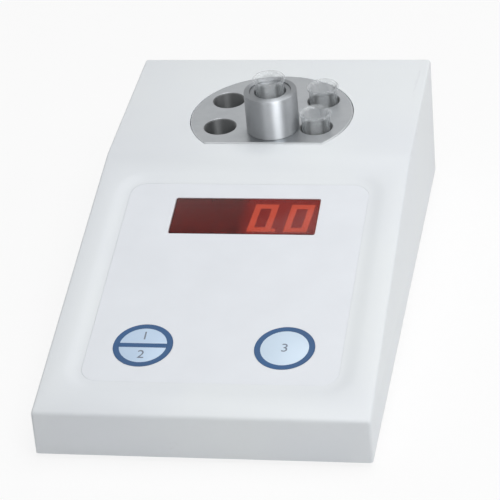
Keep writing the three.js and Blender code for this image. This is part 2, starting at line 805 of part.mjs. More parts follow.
const upperBearingTop = -bearingPocketTop - fitGap;
const upperBearingBottom = upperBearingTop - bearingHeight;
const lowerBearingBottom = fitGap - blockBottom;
const lowerBearingTop = lowerBearingBottom + bearingHeight;
for (const [name, top, bottom, finish] of [
  ["upper_bearing", upperBearingTop, upperBearingBottom, finishes.polishedSteel],
  ["bearing_spacer", upperBearingBottom - fitGap, lowerBearingTop + fitGap, finishes.brass],
  ["lower_bearing", lowerBearingTop, lowerBearingBottom, finishes.polishedSteel],
]) {
  const ring = sleeve(bearingOuterRadius, rotorShaftRadius + fitGap, bottom, top, turretCentreX, turretPlace,
    0, smallSides);
  piece(rearDeck, name, ring, finish);
}

piece(rearDeck, "ball_sensor", ballSensorBox(0), finishes.blackPlastic);

const plateRotorRadius = bearingOuterRadius + 2 * drivePlateMargin;
const plateMotorRadius = motorRadius + fitGap;
const [plateCutBottom, plateCutTop] = [drivePlateBottom - overrun, drivePlateTop + overrun];
piece(rearDeck, "drive_plate", cut(
  raise(beltOutline(turretCentreX, turretPlace, plateRotorRadius, motorX, motorPlace, plateMotorRadius),
    drivePlateBottom, drivePlateTop, tinySides),
  rod(rotorShaftRadius + fitGap, plateCutBottom, plateCutTop, turretCentreX, turretPlace),
  rod(motorShaftRadius + fitGap, plateCutBottom, plateCutTop, motorX, motorPlace),
), finishes.sheetSteel);

const motorBottom = drivePlateTop + fitGap;
const motorShaftTop = motorBottom + motorShaftInside;
piece(rearDeck, "drive_motor", cut(
  rod(motorRadius, motorBottom, motorBottom + motorLength, motorX, motorPlace, boreSides),
  rod(motorShaftRadius + fitGap, motorBottom - overrun, motorShaftTop + fitGap, motorX, motorPlace),
), finishes.sheetSteel);
piece(rearDeck, "motor_shaft", rod(motorShaftRadius, pulleyBottom, motorShaftTop, motorX, motorPlace),
  finishes.polishedSteel);

function pulley(grooveRadius, shaftRadius, x, y) {
  const lip = (pulleyHeight - beltWidth) / 2 - fitGap;
  const hub = shaftRadius + fitGap;
  return turned([
    [hub, pulleyBottom],
    [grooveRadius + pulleyFlange, pulleyBottom],
    [grooveRadius + pulleyFlange, pulleyBottom + lip],
    [grooveRadius, pulleyBottom + lip],
    [grooveRadius, pulleyTop - lip],
    [grooveRadius + pulleyFlange, pulleyTop - lip],
    [grooveRadius + pulleyFlange, pulleyTop],
    [hub, pulleyTop],
    [hub, pulleyBottom],
  ], x, y, smallSides);
}

piece(rearDeck, "rotor_pulley", pulley(rotorGrooveRadius, rotorShaftRadius, turretCentreX, turretPlace),
  finishes.blackPlastic);
piece(rearDeck, "motor_pulley", pulley(motorGrooveRadius, motorShaftRadius, motorX, motorPlace),
  finishes.brass);

function beltRound(extra) {
  return beltOutline(turretCentreX, turretPlace, rotorGrooveRadius + fitGap + extra,
    motorX, motorPlace, motorGrooveRadius + fitGap + extra);
}
const beltMiddle = (pulleyTop + pulleyBottom) / 2;
piece(rearDeck, "drive_belt", cut(
  raise(beltRound(beltThickness), beltMiddle - beltWidth / 2, beltMiddle + beltWidth / 2, tinySides),
  raise(beltRound(0), beltMiddle - beltWidth, beltMiddle + beltWidth, tinySides),
), finishes.rubber);

for (const [name, side] of [["left", -1], ["right", 1]]) {
  const x = blockCentreX + side * heaterOffsetX;
  piece(rearDeck, `heater_${name}`, slab(x - heaterWidth / 2, x + heaterWidth / 2,
    heaterPlace - heaterLength / 2, heaterPlace + heaterLength / 2,
    drivePlateTop - heaterHeight, drivePlateTop), finishes.blackPlastic);
}
piece(rearDeck, "temperature_sensor", rod(sensorRadius, sensorDepth - fitGap - blockBottom - sensorLength,
  sensorDepth - fitGap - blockBottom, blockCentreX, sensorPlace, tinySides), finishes.polishedSteel);

// Cuvettes stand in the rotor and in two of the bores, each with a steel ball at its foot.

function cuvette(top, x, y) {
  const bottom = top - cuvetteLength;
  const inside = cuvetteRadius - cuvetteWall;
  const rimStart = top - cuvetteRimHeight;
  const mouth = cuvetteRimRadius - cuvetteWall;
  return turned([
    [0, bottom],
    [cuvetteRadius - cuvetteToe, bottom],
    [cuvetteRadius, bottom + cuvetteToe],
    [cuvetteRadius, rimStart],
    [cuvetteRimRadius, rimStart],
    [cuvetteRimRadius, top],
    [mouth, top],
    [inside, rimStart],
    [inside, bottom + cuvetteWall + cuvetteToe],
    [inside - cuvetteToe, bottom + cuvetteWall],
    [0, bottom + cuvetteWall],
  ], x, y);
}

function ball(top, x, y) {
  const geometry = new THREE.SphereGeometry(ballRadius, tinySides, tinySides / 2);
  return geometry.translate(x, y, top - cuvetteLength + cuvetteWall + fitGap + ballRadius);
}

for (const [name, top, x, y] of [
  ["measuring", cuvetteTopInTurret, turretCentreX, turretPlace],
  ["rear_right", cuvetteTopInBlock, boreX[1], rearBorePlace],
  ["front_right", cuvetteTopInBlock, boreX[1], frontBorePlace],
]) {
  piece(rearDeck, `cuvette_${name}`, cuvette(top, x, y), finishes.clearPlastic);
  piece(rearDeck, `ball_${name}`, ball(top, x, y), finishes.polishedSteel);
}

// Base plate, feet, screws, posts and boards, in the case's upright frame.

function basePlate() {
  const halfWidth = caseWidth / 2 - caseWall - fitGap;
  const halfDepth = caseDepth / 2 - caseWall - fitGap;
  const outline = roundedRectangle(halfWidth, halfDepth, baseCornerRadius, 0, caseDepth / 2);
  const plate = raise(outline, 0, baseThickness);
  const pillars = boardPillars(0, mainBoardCentreY, mainBoardHalfWidth, mainBoardHalfLength,
    mainBoardHeight - fitGap, baseThickness / 2);
  const holes = caseScrewPlaces.map(([x, y]) => turned([
    [0, -overrun],
    [caseScrewHeadRadius + fitGap, -overrun],
    [caseScrewHeadRadius + fitGap, 0],
    [caseScrewRadius + fitGap, caseScrewHeadHeight],
    [caseScrewRadius + fitGap, baseThickness + overrun],
    [0, baseThickness + overrun],
  ], x, y, smallSides));
  return cut(join(plate, ...pillars), ...holes);
}

piece(deckCase, "base_plate", basePlate(), finishes.sheetSteel);

caseScrewPlaces.forEach(([x, y], i) => {
  const screw = turned([
    [0, caseScrewDriveDepth],
    [caseScrewDriveRadius, caseScrewDriveDepth],
    [caseScrewDriveRadius, 0],
    [caseScrewHeadRadius, 0],
    [caseScrewRadius, caseScrewHeadHeight],
    [caseScrewRadius, caseScrewLength],
    [0, caseScrewLength],
  ], x, y, tinySides);
  piece(deckCase, `case_screw_${cornerNames[i]}`, screw, finishes.polishedSteel);
});

footPlaces.forEach(([x, y], i) => {
  const foot = turned([
    [0, -footHeight],
    [footRadius - footChamfer, -footHeight],
    [footRadius, footChamfer - footHeight],
    [footRadius, 0],
    [0, 0],
  ], x, y, smallSides);
  piece(deckCase, `foot_${cornerNames[i]}`, foot, finishes.rubber);
});

[
  ["front_right", frontPostX, frontPostPlace],
  ["left", leftPostX, leftPostPlace],
  ["rear", rearPostX, rearPostPlace],
].forEach(([name, offsetX, place]) => {
  const under = deckPoint(rearDeck, place - postRadius, -blockBottom);
  const y = under.y + postRadius;
  piece(deckCase, `block_post_${name}`,
    rod(postRadius, baseThickness, under.z - fitGap, blockCentreX + offsetX, y, tinySides), finishes.brass);
});

piece(deckCase, "main_board", boardOn(0, mainBoardCentreY, mainBoardHalfWidth, mainBoardHalfLength,
  mainBoardHeight), finishes.board);
const chipX = chipSideRoom - mainBoardHalfWidth;
const chipY = mainBoardRearY - chipRearRoom;
piece(deckCase, "processor_chip", slab(chipX - chipWidth / 2, chipX + chipWidth / 2, chipY - chipWidth / 2,
  chipY + chipWidth / 2, onBoard, onBoard + chipHeight), finishes.blackPlastic);
const regulatorX = mainBoardHalfWidth - regulatorSideRoom;
const regulatorY = mainBoardRearY - regulatorRearRoom;
piece(deckCase, "voltage_regulator", slab(regulatorX - regulatorWidth / 2, regulatorX + regulatorWidth / 2,
  regulatorY - regulatorDepth / 2, regulatorY + regulatorDepth / 2, onBoard, onBoard + regulatorHeight),
finishes.blackPlastic);
const buzzerX = buzzerSideRoom - mainBoardHalfWidth;
const buzzerY = mainBoardRearY - buzzerRearRoom;
const buzzerTop = onBoard + buzzerHeight;
piece(deckCase, "buzzer", cut(
  rod(buzzerRadius, onBoard, buzzerTop, buzzerX, buzzerY),
  rod(buzzerHoleRadius, buzzerTop - buzzerHoleDepth, buzzerTop + overrun, buzzerX, buzzerY, tinySides),
), finishes.blackPlastic);

// A flat cable between the underside of a sloping board and the top of the main board.
function ribbon(place, underside, footY) {
  const head = deckPoint(frontDeck, place, underside - 2 * fitGap);
  const middle = new THREE.Vector2((head.y + footY) / 2 - ribbonBow, (head.z + onBoard) / 2);
  const foot = new THREE.Vector2(footY, onBoard);
  const line = new THREE.SplineCurve([foot, middle, new THREE.Vector2(head.y, head.z)]);
  const half = ribbonThickness / 2;
  const front = line.getPoints(tinySides).map((point) => new THREE.Vector2(point.x - half, point.y));
  const rear = line.getPoints(tinySides).map((point) => new THREE.Vector2(point.x + half, point.y)).reverse();
  const strip = raise(new THREE.Shape([...front, ...rear]), -ribbonWidth / 2, ribbonWidth / 2);
  return strip.applyMatrix4(sideView);
}

piece(deckCase, "display_ribbon", ribbon(windowCentrePlace - displayRibbonOffset, displayBoardUnderside,
  mainBoardRearY - displayRibbonFootRoom), finishes.greyCable);
piece(deckCase, "key_ribbon", ribbon(keyPlace + keyRibbonOffset, keyBoardUnderside,
  mainBoardFrontY + keyRibbonFootRoom), finishes.greyCable);

// Rear panel: power inlet, its lead to the main board, and the rocker switch.

const recessFloor = caseDepth - recessDepth;
function panelPiece(geometry, x) {
  return geometry.rotateX(-Math.PI / 2).translate(x, recessFloor, inletHeight);
}

piece(deckCase, "power_inlet", panelPiece(turned([
  [0, -inletLength],
  [inletRadius, -inletLength],
  [inletRadius, fitGap],
  [inletFlangeRadius, fitGap],
  [inletFlangeRadius, fitGap + inletFlangeThickness],
  [inletBoreRadius, fitGap + inletFlangeThickness],
  [inletBoreRadius, -inletBoreDepth],
  [inletPinRadius, -inletBoreDepth],
  [inletPinRadius, 0],
  [0, 0],
], 0, 0, tinySides), inletX), finishes.blackPlastic);

function powerLead() {
  const leadRunX = caseWidth / 2 - caseWall - leadSideRoom;
  const leadEndX = mainBoardHalfWidth - leadEndSideRoom;
  const leadEndY = mainBoardRearY + leadEndRoom;
  const start = recessFloor - inletLength - fitGap;
  const boardMiddle = mainBoardHeight + boardThickness / 2;
  const route = new THREE.CatmullRomCurve3([
    new THREE.Vector3(inletX, start, inletHeight),
    new THREE.Vector3(inletX, start - leadStraight, inletHeight),
    new THREE.Vector3((inletX + leadRunX) / 2, start - leadDrop, leadHeight),
    new THREE.Vector3(leadRunX, start - leadDrop * 2, leadHeight),
    new THREE.Vector3(leadRunX, leadEndY + leadStraight * 2, leadHeight),
    new THREE.Vector3(leadEndX, (leadEndY + mainBoardRearY) / 2 + fitGap, boardMiddle),
    new THREE.Vector3(leadEndX, mainBoardRearY + fitGap, boardMiddle),
  ]);
  const section = new THREE.Shape().absarc(0, 0, leadRadius, 0, Math.PI * 2);
  const options = { steps: leadSteps, extrudePath: route, curveSegments: leadSides / 2 };
  return new THREE.ExtrudeGeometry(section, options);
}

piece(deckCase, "power_lead", powerLead(), finishes.greyCable);

// The rocker is drawn as seen from above, [along +X, outward], then raised across its width.
function rockerSwitch() {
  const root = rockerHalfLength * rockerRootShare;
  const outline = new THREE.Shape([
    new THREE.Vector2(-root, -rockerRootDepth),
    new THREE.Vector2(root, -rockerRootDepth),
    new THREE.Vector2(rockerHalfLength, rockerEndHeight),
    new THREE.Vector2(0, rockerValleyHeight),
    new THREE.Vector2(-rockerHalfLength, rockerEndHeight),
  ]);
  const pinEnd = rockerHalfWidth + rockerPinReach;
  const rocker = join(
    raise(outline, -rockerHalfWidth, rockerHalfWidth),
    rod(rockerPinRadius, -pinEnd, pinEnd, 0, -rockerPivotDepth, tinySides),
  );
  return rocker.translate(0, rockerPivotDepth, 0)
    .rotateZ(THREE.MathUtils.degToRad(rockerRestDegrees)).translate(0, -rockerPivotDepth, 0);
}

function switchFrame() {
  const wellHalfLength = rockerHalfLength + rockerSwing;
  const wellHalfWidth = rockerHalfWidth + fitGap;
  const outerHalfLength = wellHalfLength + switchWall;
  const outerHalfWidth = wellHalfWidth + switchWall;
  const bezelTop = fitGap + switchBezelHeight;
  const frame = join(
    slab(-outerHalfLength, outerHalfLength, -switchDepth, bezelTop - switchBezelHeight / 2,
      -outerHalfWidth, outerHalfWidth),
    slab(-outerHalfLength - switchBezel, outerHalfLength + switchBezel, fitGap, bezelTop,
      -outerHalfWidth - switchBezel, outerHalfWidth + switchBezel),
  );
  const well = slab(-wellHalfLength, wellHalfLength, -switchFloorDepth, bezelTop + overrun,
    -wellHalfWidth, wellHalfWidth);
  const pinReach = rockerHalfWidth + rockerPinReach + fitGap;
  const pinHole = rod(rockerPinRadius + fitGap, -pinReach, pinReach, 0, -rockerPivotDepth, tinySides);
  return cut(frame, well, pinHole);
}

piece(deckCase, "power_switch_frame", switchFrame().translate(rockerX, recessFloor, inletHeight),
  finishes.blackPlastic);
piece(deckCase, "power_rocker", rockerSwitch().translate(rockerX, recessFloor, inletHeight),
  finishes.blackPlastic);

export default analyzer;
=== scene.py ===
# %% [markdown]
# # A bench coagulation analyzer
#
# The analyzer is a white wedge-shaped case with a keypad tray on its front slope and a heated
# metal block let into its rear slope. The CAD model gives every solid its size and place, so
# this script only adds what light sees: finishes, printed marks, clear plastic, lamps and a camera.

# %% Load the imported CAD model
import math

import bpy
from mathutils import Matrix, Vector


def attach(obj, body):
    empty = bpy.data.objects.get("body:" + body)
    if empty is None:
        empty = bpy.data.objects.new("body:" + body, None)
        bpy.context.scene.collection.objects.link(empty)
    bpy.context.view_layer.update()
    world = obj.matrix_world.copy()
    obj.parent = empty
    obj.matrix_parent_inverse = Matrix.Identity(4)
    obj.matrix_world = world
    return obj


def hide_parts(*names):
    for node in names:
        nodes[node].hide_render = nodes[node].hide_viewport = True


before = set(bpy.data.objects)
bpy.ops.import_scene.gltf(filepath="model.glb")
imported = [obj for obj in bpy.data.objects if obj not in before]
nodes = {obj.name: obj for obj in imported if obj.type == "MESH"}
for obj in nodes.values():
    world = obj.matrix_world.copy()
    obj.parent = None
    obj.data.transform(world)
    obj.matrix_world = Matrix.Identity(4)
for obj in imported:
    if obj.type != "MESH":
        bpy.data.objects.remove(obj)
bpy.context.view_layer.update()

# %% [markdown]
# ## Two sloping decks
#
# Most visible pieces lie on one of the case's two slopes. A matrix for each slope lets a piece be
# drawn flat, with +Y up the slope and +Z square to it, and then set down where it belongs.
# Working out each tilted corner by hand would also do, but a slip there is hard to see.

# %% Matrices of the two slopes
MM = 0.001
CASE_DEPTH = 202.0
FOOT_HEIGHT = 2.0
FRONT_HEIGHT, BEND_HEIGHT, REAR_HEIGHT = 15.5, 43.0, 46.7
BEND_DEPTH = 129.2
front_slope = math.atan2(BEND_HEIGHT - FRONT_HEIGHT, BEND_DEPTH)
rear_slope = math.atan2(REAR_HEIGHT - BEND_HEIGHT, CASE_DEPTH - BEND_DEPTH)


def deck_matrix(y, z, slope):
    """Places a drawing in millimetres on a slope that starts at y and z."""
    start = Matrix.Translation((0, (y - CASE_DEPTH / 2) * MM, (z + FOOT_HEIGHT) * MM))
    return start @ Matrix.Rotation(slope, 4, "X") @ Matrix.Scale(MM, 4)


front_deck = deck_matrix(0, FRONT_HEIGHT, front_slope)
rear_deck = deck_matrix(BEND_DEPTH, BEND_HEIGHT, rear_slope)
print("slopes in degrees:", [round(math.degrees(slope), 2) for slope in (front_slope, rear_slope)])

# %% [markdown]
# ## Camera
#
# The viewpoint is a long lens from the right of the front, looking down. Its place and its three
# directions were solved from the corners of the case, so the picture and the model line up.

# %% Camera from its solved place and directions
FOCAL_PIXELS = 2433.38
IMAGE_PIXELS = 500
SENSOR_WIDTH = 36.0

camera_data = bpy.data.cameras.new("camera")
camera_data.sensor_width = SENSOR_WIDTH
camera_data.lens = FOCAL_PIXELS * SENSOR_WIDTH / IMAGE_PIXELS
camera_data.clip_start, camera_data.clip_end = 0.01, 20
camera = bpy.data.objects.new("camera", camera_data)
bpy.context.scene.collection.objects.link(camera)
camera_place = Vector((0.153901, -0.731915, 0.435095))
camera_right = Vector((0.983622, 0.163138, -0.076639))
camera_up = Vector((-0.013302, 0.489743, 0.871765))
camera_back = Vector((0.179751, -0.856468, 0.483892))
turn = Matrix((camera_right, camera_up, camera_back)).transposed().to_4x4()
camera.matrix_world = Matrix.Translation(camera_place) @ turn
bpy.context.scene.camera = camera
print("lens", round(camera_data.lens, 1), "mm")

# %% [markdown]
# ## Node helpers
#
# Each finish is a small tree of shader nodes. These helpers add a node and wire it in one line.
# Noise is sampled at object coordinates, in metres, so that a pattern keeps its true size and
# stays on a piece as the piece moves.

# %% A finish and its nodes


class Finish:
    """One procedural material and the Principled shader in it."""

    def __init__(self, name, colour, roughness, metallic=0.0, **sockets):
        self.material = bpy.data.materials.new(name)
        self.material.use_nodes = True
        self.tree = self.material.node_tree
        self.shader = self.tree.nodes["Principled BSDF"]
        self.shader.inputs["Base Color"].default_value = (*colour, 1)
        self.shader.inputs["Roughness"].default_value = roughness
        self.shader.inputs["Metallic"].default_value = metallic
        for socket, value in sockets.items():
            self.shader.inputs[socket.replace("_", " ")].default_value = value
        self.place = self.add("ShaderNodeTexCoord").outputs["Object"]

    def add(self, kind, inputs=None, **settings):
        """A new node, with each input linked or set."""
        node = self.tree.nodes.new(kind)
        for setting, value in settings.items():
            setattr(node, setting, value)
        for socket, value in (inputs or {}).items():
            if isinstance(value, bpy.types.NodeSocket):
                self.tree.links.new(value, node.inputs[socket])
            else:
                node.inputs[socket].default_value = value
        return node

    def link(self, output, socket):
        """Feeds the shader."""
        self.tree.links.new(output, self.shader.inputs[socket])

    def math(self, operation, a, b):
        return self.add("ShaderNodeMath", {0: a, 1: b}, operation=operation).outputs[0]

    def vector(self, operation, a, b):
        """Vector arithmetic, whose result is a number for a product or a distance."""
        node = self.add("ShaderNodeVectorMath", {0: a, 1: b}, operation=operation)
        return node.outputs["Value" if operation in ("DOT_PRODUCT", "DISTANCE") else "Vector"]

    def weigh(self, a, b, share):
        """That share of a with the rest of b."""
        return self.math("ADD", self.math("MULTIPLY", a, share), self.math("MULTIPLY", b, 1 - share))

    def noise(self, grain, detail=3.0, stretch=None, roughness=0.5):
        """Noise whose grains are about that many millimetres across, stretched along an axis if asked."""
        where = self.place
        if stretch:
            where = self.add("ShaderNodeMapping", {"Vector": where, "Scale": stretch}).outputs[0]
        inputs = {"Vector": where, "Scale": 1 / (grain * MM), "Detail": detail, "Roughness": roughness}
        return self.add("ShaderNodeTexNoise", inputs).outputs["Fac"]

    def span(self, value, low, high, new_low, new_high):
        """Maps one range of values to another, and holds it inside the new range."""
        return self.add("ShaderNodeMapRange", {"Value": value, "From Min": low, "From Max": high,
                                               "To Min": new_low, "To Max": new_high}).outputs[0]

    def blend(self, amount, a, b):
        """Colour a turning into colour b."""
        mix = self.add("ShaderNodeMix", data_type="RGBA")
        for value, socket in ((amount, mix.inputs[0]), (a, mix.inputs[6]), (b, mix.inputs[7])):
            if isinstance(value, bpy.types.NodeSocket):
                self.tree.links.new(value, socket)
            elif isinstance(value, (int, float)):
                socket.default_value = value
            else:
                socket.default_value = (*value, 1)
        return mix.outputs[2]

    def bump(self, height, depth, strength=1.0):
        """Relief of at most that many millimetres."""
        inputs = {"Height": height, "Distance": depth * MM, "Strength": strength}
        self.link(self.add("ShaderNodeBump", inputs).outputs[0], "Normal")


print("finish helper ready")

# %% Plain finishes, and dressing a node
SHEEN_SPREAD = 0.15


def plain_finish(name, colour, roughness, metallic=0.0, grain=0.4, relief=0.01, tone=0.03, **sockets):
    """A finish with gentle tone, sheen and relief, for any moulded, rubber or plated piece."""
    finish = Finish(name, colour, roughness, metallic, **sockets)
    wide = finish.noise(14, 4)
    fine = finish.noise(grain, 2)
    low = [c * (1 - tone) for c in colour]
    high = [min(c * (1 + tone), 1) for c in colour]
    finish.link(finish.blend(finish.span(wide, 0.3, 0.7, 0, 1), low, high), "Base Color")
    dull = min(roughness * (1 + SHEEN_SPREAD), 1)
    sheen = finish.span(finish.weigh(wide, fine, 0.6), 0.3, 0.7, roughness * (1 - SHEEN_SPREAD), dull)
    finish.link(sheen, "Roughness")
    finish.bump(fine, relief)
    return finish


def dress(material, *names):
    """Gives CAD nodes a finish."""
    for name in names:
        nodes[name].data.materials.clear()
        nodes[name].data.materials.append(material)


print("plain finishes spread their sheen by", SHEEN_SPREAD)

# %% [markdown]
# ## Smooth faces and small edge radii
#
# CAD solids come as flat triangles. On the real case a mould or a cutter leaves true curves and
# edges with a small radius that catch light. A modifier on each node welds the triangles, joins
# flat ones, rounds the edges where that is wanted, and shades the gentle angles as one curve.
# Modifiers leave the CAD mesh itself as it was packed, which a remade mesh would not.

# %% Node group that shades gentle angles as one curve
SMOOTH_ANGLE = math.radians(32)


def smoothing_group():
    """Node group that shades every edge under the limit as part of a curve."""
    group = bpy.data.node_groups.new("shade_gentle_angles", "GeometryNodeTree")
    group.interface.new_socket("Geometry", in_out="INPUT", socket_type="NodeSocketGeometry")
    group.interface.new_socket("Geometry", in_out="OUTPUT", socket_type="NodeSocketGeometry")
    start = group.nodes.new("NodeGroupInput")
    end = group.nodes.new("NodeGroupOutput")
    faces = group.nodes.new("GeometryNodeSetShadeSmooth")
    edges = group.nodes.new("GeometryNodeSetShadeSmooth")
    edges.domain = "EDGE"
    edges.inputs["Shade Smooth"].default_value = False
    angle = group.nodes.new("GeometryNodeInputMeshEdgeAngle")
    sharp = group.nodes.new("FunctionNodeCompare")
    sharp.operation = "GREATER_THAN"
    sharp.inputs["B"].default_value = SMOOTH_ANGLE
    group.links.new(angle.outputs["Unsigned Angle"], sharp.inputs["A"])
    group.links.new(start.outputs[0], faces.inputs["Geometry"])
    group.links.new(faces.outputs[0], edges.inputs["Geometry"])
    group.links.new(sharp.outputs["Result"], edges.inputs["Selection"])
    group.links.new(edges.outputs[0], end.inputs[0])
    return group


gentle = smoothing_group()
print("shades as one curve up to", round(math.degrees(SMOOTH_ANGLE)), "degrees")

# %% Modifiers that round and shade the CAD nodes
WELD_REACH = 0.002
FLAT_ANGLE, EDGE_ANGLE = math.radians(0.3), math.radians(40)
EDGE_SEGMENTS = 2


def refine(obj, edge=0.0):
    """Welds, rounds edges by that many millimetres, and shades gentle angles smooth."""
    obj.modifiers.new("weld", "WELD").merge_threshold = WELD_REACH * MM
    if edge > 0:
        flat = obj.modifiers.new("join_flat_faces", "DECIMATE")
        flat.decimate_type = "DISSOLVE"
        flat.angle_limit = FLAT_ANGLE
        bevel = obj.modifiers.new("edge_radius", "BEVEL")
        bevel.width = edge * MM
        bevel.segments = EDGE_SEGMENTS
        bevel.limit_method = "ANGLE"
        bevel.angle_limit = EDGE_ANGLE
        bevel.use_clamp_overlap = True
        bevel.harden_normals = False
    obj.modifiers.new("smooth", "NODES").node_group = gentle
    return obj


EDGES = {"left_key": 0.3, "right_key": 0.3, "display_window": 0.12, "power_inlet": 0.25,
         "power_switch_frame": 0.35, "power_rocker": 0.4, "base_plate": 0.2}
for name, node in nodes.items():
    refine(node, EDGES.get(name, 0.0))
print("refined", len(nodes), "nodes,", len(EDGES), "with rounded edges")

# %% [markdown]
# ## White case
#
# The case is moulded in a slightly cool white plastic with a fine satin grain. Real mouldings are
# never one flat tone: broad clouds of tone come from the material's flow, the sheen changes a
# little, and hands polish and scuff it. Three noises of different size stand for these.

# %% Case finish
CASE_WHITE = (0.783, 0.815, 0.845)
CASE_LOW, CASE_HIGH, CASE_SCUFF = (0.768, 0.80, 0.835), (0.797, 0.83, 0.85), (0.745, 0.775, 0.80)
case_finish = Finish("white_case_plastic", CASE_WHITE, 0.42)
clouds = case_finish.noise(55, 3)
scuffs = case_finish.noise(7, 6, stretch=(1, 0.12, 1), roughness=0.7)
scuff_mask = case_finish.span(scuffs, 0.66, 0.72, 0, 1)
clean = case_finish.blend(case_finish.span(clouds, 0.35, 0.65, 0, 1), CASE_LOW, CASE_HIGH)
case_finish.link(case_finish.blend(scuff_mask, clean, CASE_SCUFF), "Base Color")
worn = case_finish.math("MULTIPLY", scuff_mask, -0.1)
sheen = case_finish.span(clouds, 0.3, 0.7, 0.38, 0.47)
case_finish.link(case_finish.math("ADD", sheen, worn), "Roughness")
case_finish.bump(case_finish.noise(0.35, 2), 0.006, 0.6)
dress(case_finish.material, "upper_shell")
print("case finish:", case_finish.material.name)

# %% [markdown]
# ## Keypad foil
#
# A printed polyester foil lies in a shallow seat in the tray, with openings for the window and
# both keys. It is smoother than the case and very slightly bluer. The CAD foil has a 0.3 mm gap
# all round, and on the real one the foil's soft edge closes it. A flat sheet with holes is easiest
# as a filled 2D curve, because the curve finds the faces between the outlines by itself. Cutting
# holes in a mesh with a boolean would leave long thin triangles.

# %% Outlines drawn on a deck
CIRCLE_SIDES = 96
CORNER_STEPS = 10


def circle_points(x, y, radius, sides=CIRCLE_SIDES):
    """Points of a circle, anticlockwise."""
    turns = [2 * math.pi * i / sides for i in range(sides)]
    return [(x + radius * math.cos(a), y + radius * math.sin(a)) for a in turns]


def rectangle_points(x, y, half_width, half_length):
    """Corners of a rectangle, anticlockwise."""
    return [(x - half_width, y - half_length), (x + half_width, y - half_length),
            (x + half_width, y + half_length), (x - half_width, y + half_length)]


def rounded_rectangle(x, y, half_width, half_length, radius):
    """Points of a rectangle with rounded corners, anticlockwise."""
    points = []
    for quarter, (sx, sy) in enumerate(((1, 1), (-1, 1), (-1, -1), (1, -1))):
        for i in range(CORNER_STEPS + 1):
            angle = math.pi / 2 * (quarter + i / CORNER_STEPS)
            points.append((x + sx * (half_width - radius) + radius * math.cos(angle),
                           y + sy * (half_length - radius) + radius * math.sin(angle)))
    return points


print("a round corner takes", CORNER_STEPS, "steps")

# %% A flat sheet with holes


def sheet_with_holes(name, outlines, low, high, edge, deck, material, body):
    """A flat sheet between two heights, whose first outline is its rim and whose others are holes."""
    curve = bpy.data.curves.new(name + "_outline", "CURVE")
    curve.dimensions = "2D"
    curve.fill_mode = "BOTH"
    curve.extrude = (high - low) / 2 - edge
    curve.bevel_depth, curve.bevel_resolution = edge, 2
    curve.offset = -edge
    for outline in outlines:
        spline = curve.splines.new("POLY")
        spline.points.add(len(outline) - 1)
        for point, (x, y) in zip(spline.points, outline):
            point.co = (x, y, 0, 1)
        spline.use_cyclic_u = True
    draft = bpy.data.objects.new(name + "_draft", curve)
    mesh = bpy.data.meshes.new_from_object(draft)
    bpy.data.objects.remove(draft)
    bpy.data.curves.remove(curve)
    mesh.transform(deck @ Matrix.Translation((0, 0, (low + high) / 2)))
    mesh.name = name
    mesh.materials.clear()
    mesh.materials.append(material)
    obj = bpy.data.objects.new(name, mesh)
    bpy.context.scene.collection.objects.link(obj)
    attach(obj, body)
    return obj


print("a sheet is drawn from its rim and its holes")

# %% Foil as a filled curve
FOIL_TOP, FOIL_THICKNESS, FOIL_EDGE = -0.8, 0.6, 0.06
FOIL_PLACE = 66.2
FOIL_HALF_WIDTH, FOIL_HALF_LENGTH, FOIL_CORNER = 42.46, 49.96, 6.0
FOIL_WHITE = (0.786, 0.816, 0.86)
WINDOW_X, WINDOW_PLACE = 0.3, 99.0
WINDOW_HALF_WIDTH, WINDOW_HALF_LENGTH, WINDOW_CORNER = 25.4, 9.25, 0.5
KEY_MIDDLE_X, KEY_OFFSET_X, KEY_PLACE = -0.4, 23.6, 33.3
KEY_RADIUS = 9.75
CAD_GAP = 0.3

key_x = {"left": KEY_MIDDLE_X - KEY_OFFSET_X, "right": KEY_MIDDLE_X + KEY_OFFSET_X}
window_opening = (WINDOW_HALF_WIDTH + CAD_GAP, WINDOW_HALF_LENGTH + CAD_GAP, WINDOW_CORNER + CAD_GAP)
foil_outlines = [rounded_rectangle(0, FOIL_PLACE, FOIL_HALF_WIDTH, FOIL_HALF_LENGTH, FOIL_CORNER),
                 rounded_rectangle(WINDOW_X, WINDOW_PLACE, *window_opening)]
foil_outlines += [circle_points(x, KEY_PLACE, KEY_RADIUS + CAD_GAP) for x in key_x.values()]
foil_finish = plain_finish("white_keypad_foil", FOIL_WHITE, 0.4, grain=1.1, relief=0.004, tone=0.015)
foil = sheet_with_holes("keypad_foil", foil_outlines, FOIL_TOP - FOIL_THICKNESS, FOIL_TOP, FOIL_EDGE,
                        front_deck, foil_finish.material, "case")
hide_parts("front_foil")
print("foil with", len(foil_outlines) - 1, "openings,", len(foil.data.polygons), "faces")

# %% [markdown]
# ## Round keys and their print
#
# Each key is a round cap level with the foil. A blue ring is printed at its rim, the left key has
# a bar across its middle, and small plain numbers label them. Ink is a few hundredths of a
# millimetre thick. Bands in a material would also do, but thin flat pieces keep a clean edge at
# any distance. The left cap is a little deeper in tone than the right one.

# %% Thin flat pieces


def mesh_piece(name, points, faces, deck, material, body, smooth=False):
    """A named mesh from points in millimetres on a deck, riding on a CAD body."""
    mesh = bpy.data.meshes.new(name)
    mesh.from_pydata([deck @ Vector(p) for p in points], [], faces)
    mesh.validate()
    mesh.materials.append(material)
    if smooth:
        mesh.shade_smooth()
    obj = bpy.data.objects.new(name, mesh)
    bpy.context.scene.collection.objects.link(obj)
    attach(obj, body)
    return obj


def slab_points(outline, low, high):
    """Points and faces of a flat outline, given anticlockwise, raised from low to high."""
    count = len(outline)
    points = [(x, y, low) for x, y in outline] + [(x, y, high) for x, y in outline]
    faces = [tuple(reversed(range(count))), tuple(range(count, 2 * count))]
    faces += [(i, (i + 1) % count, (i + 1) % count + count, i + count) for i in range(count)]
    return points, faces


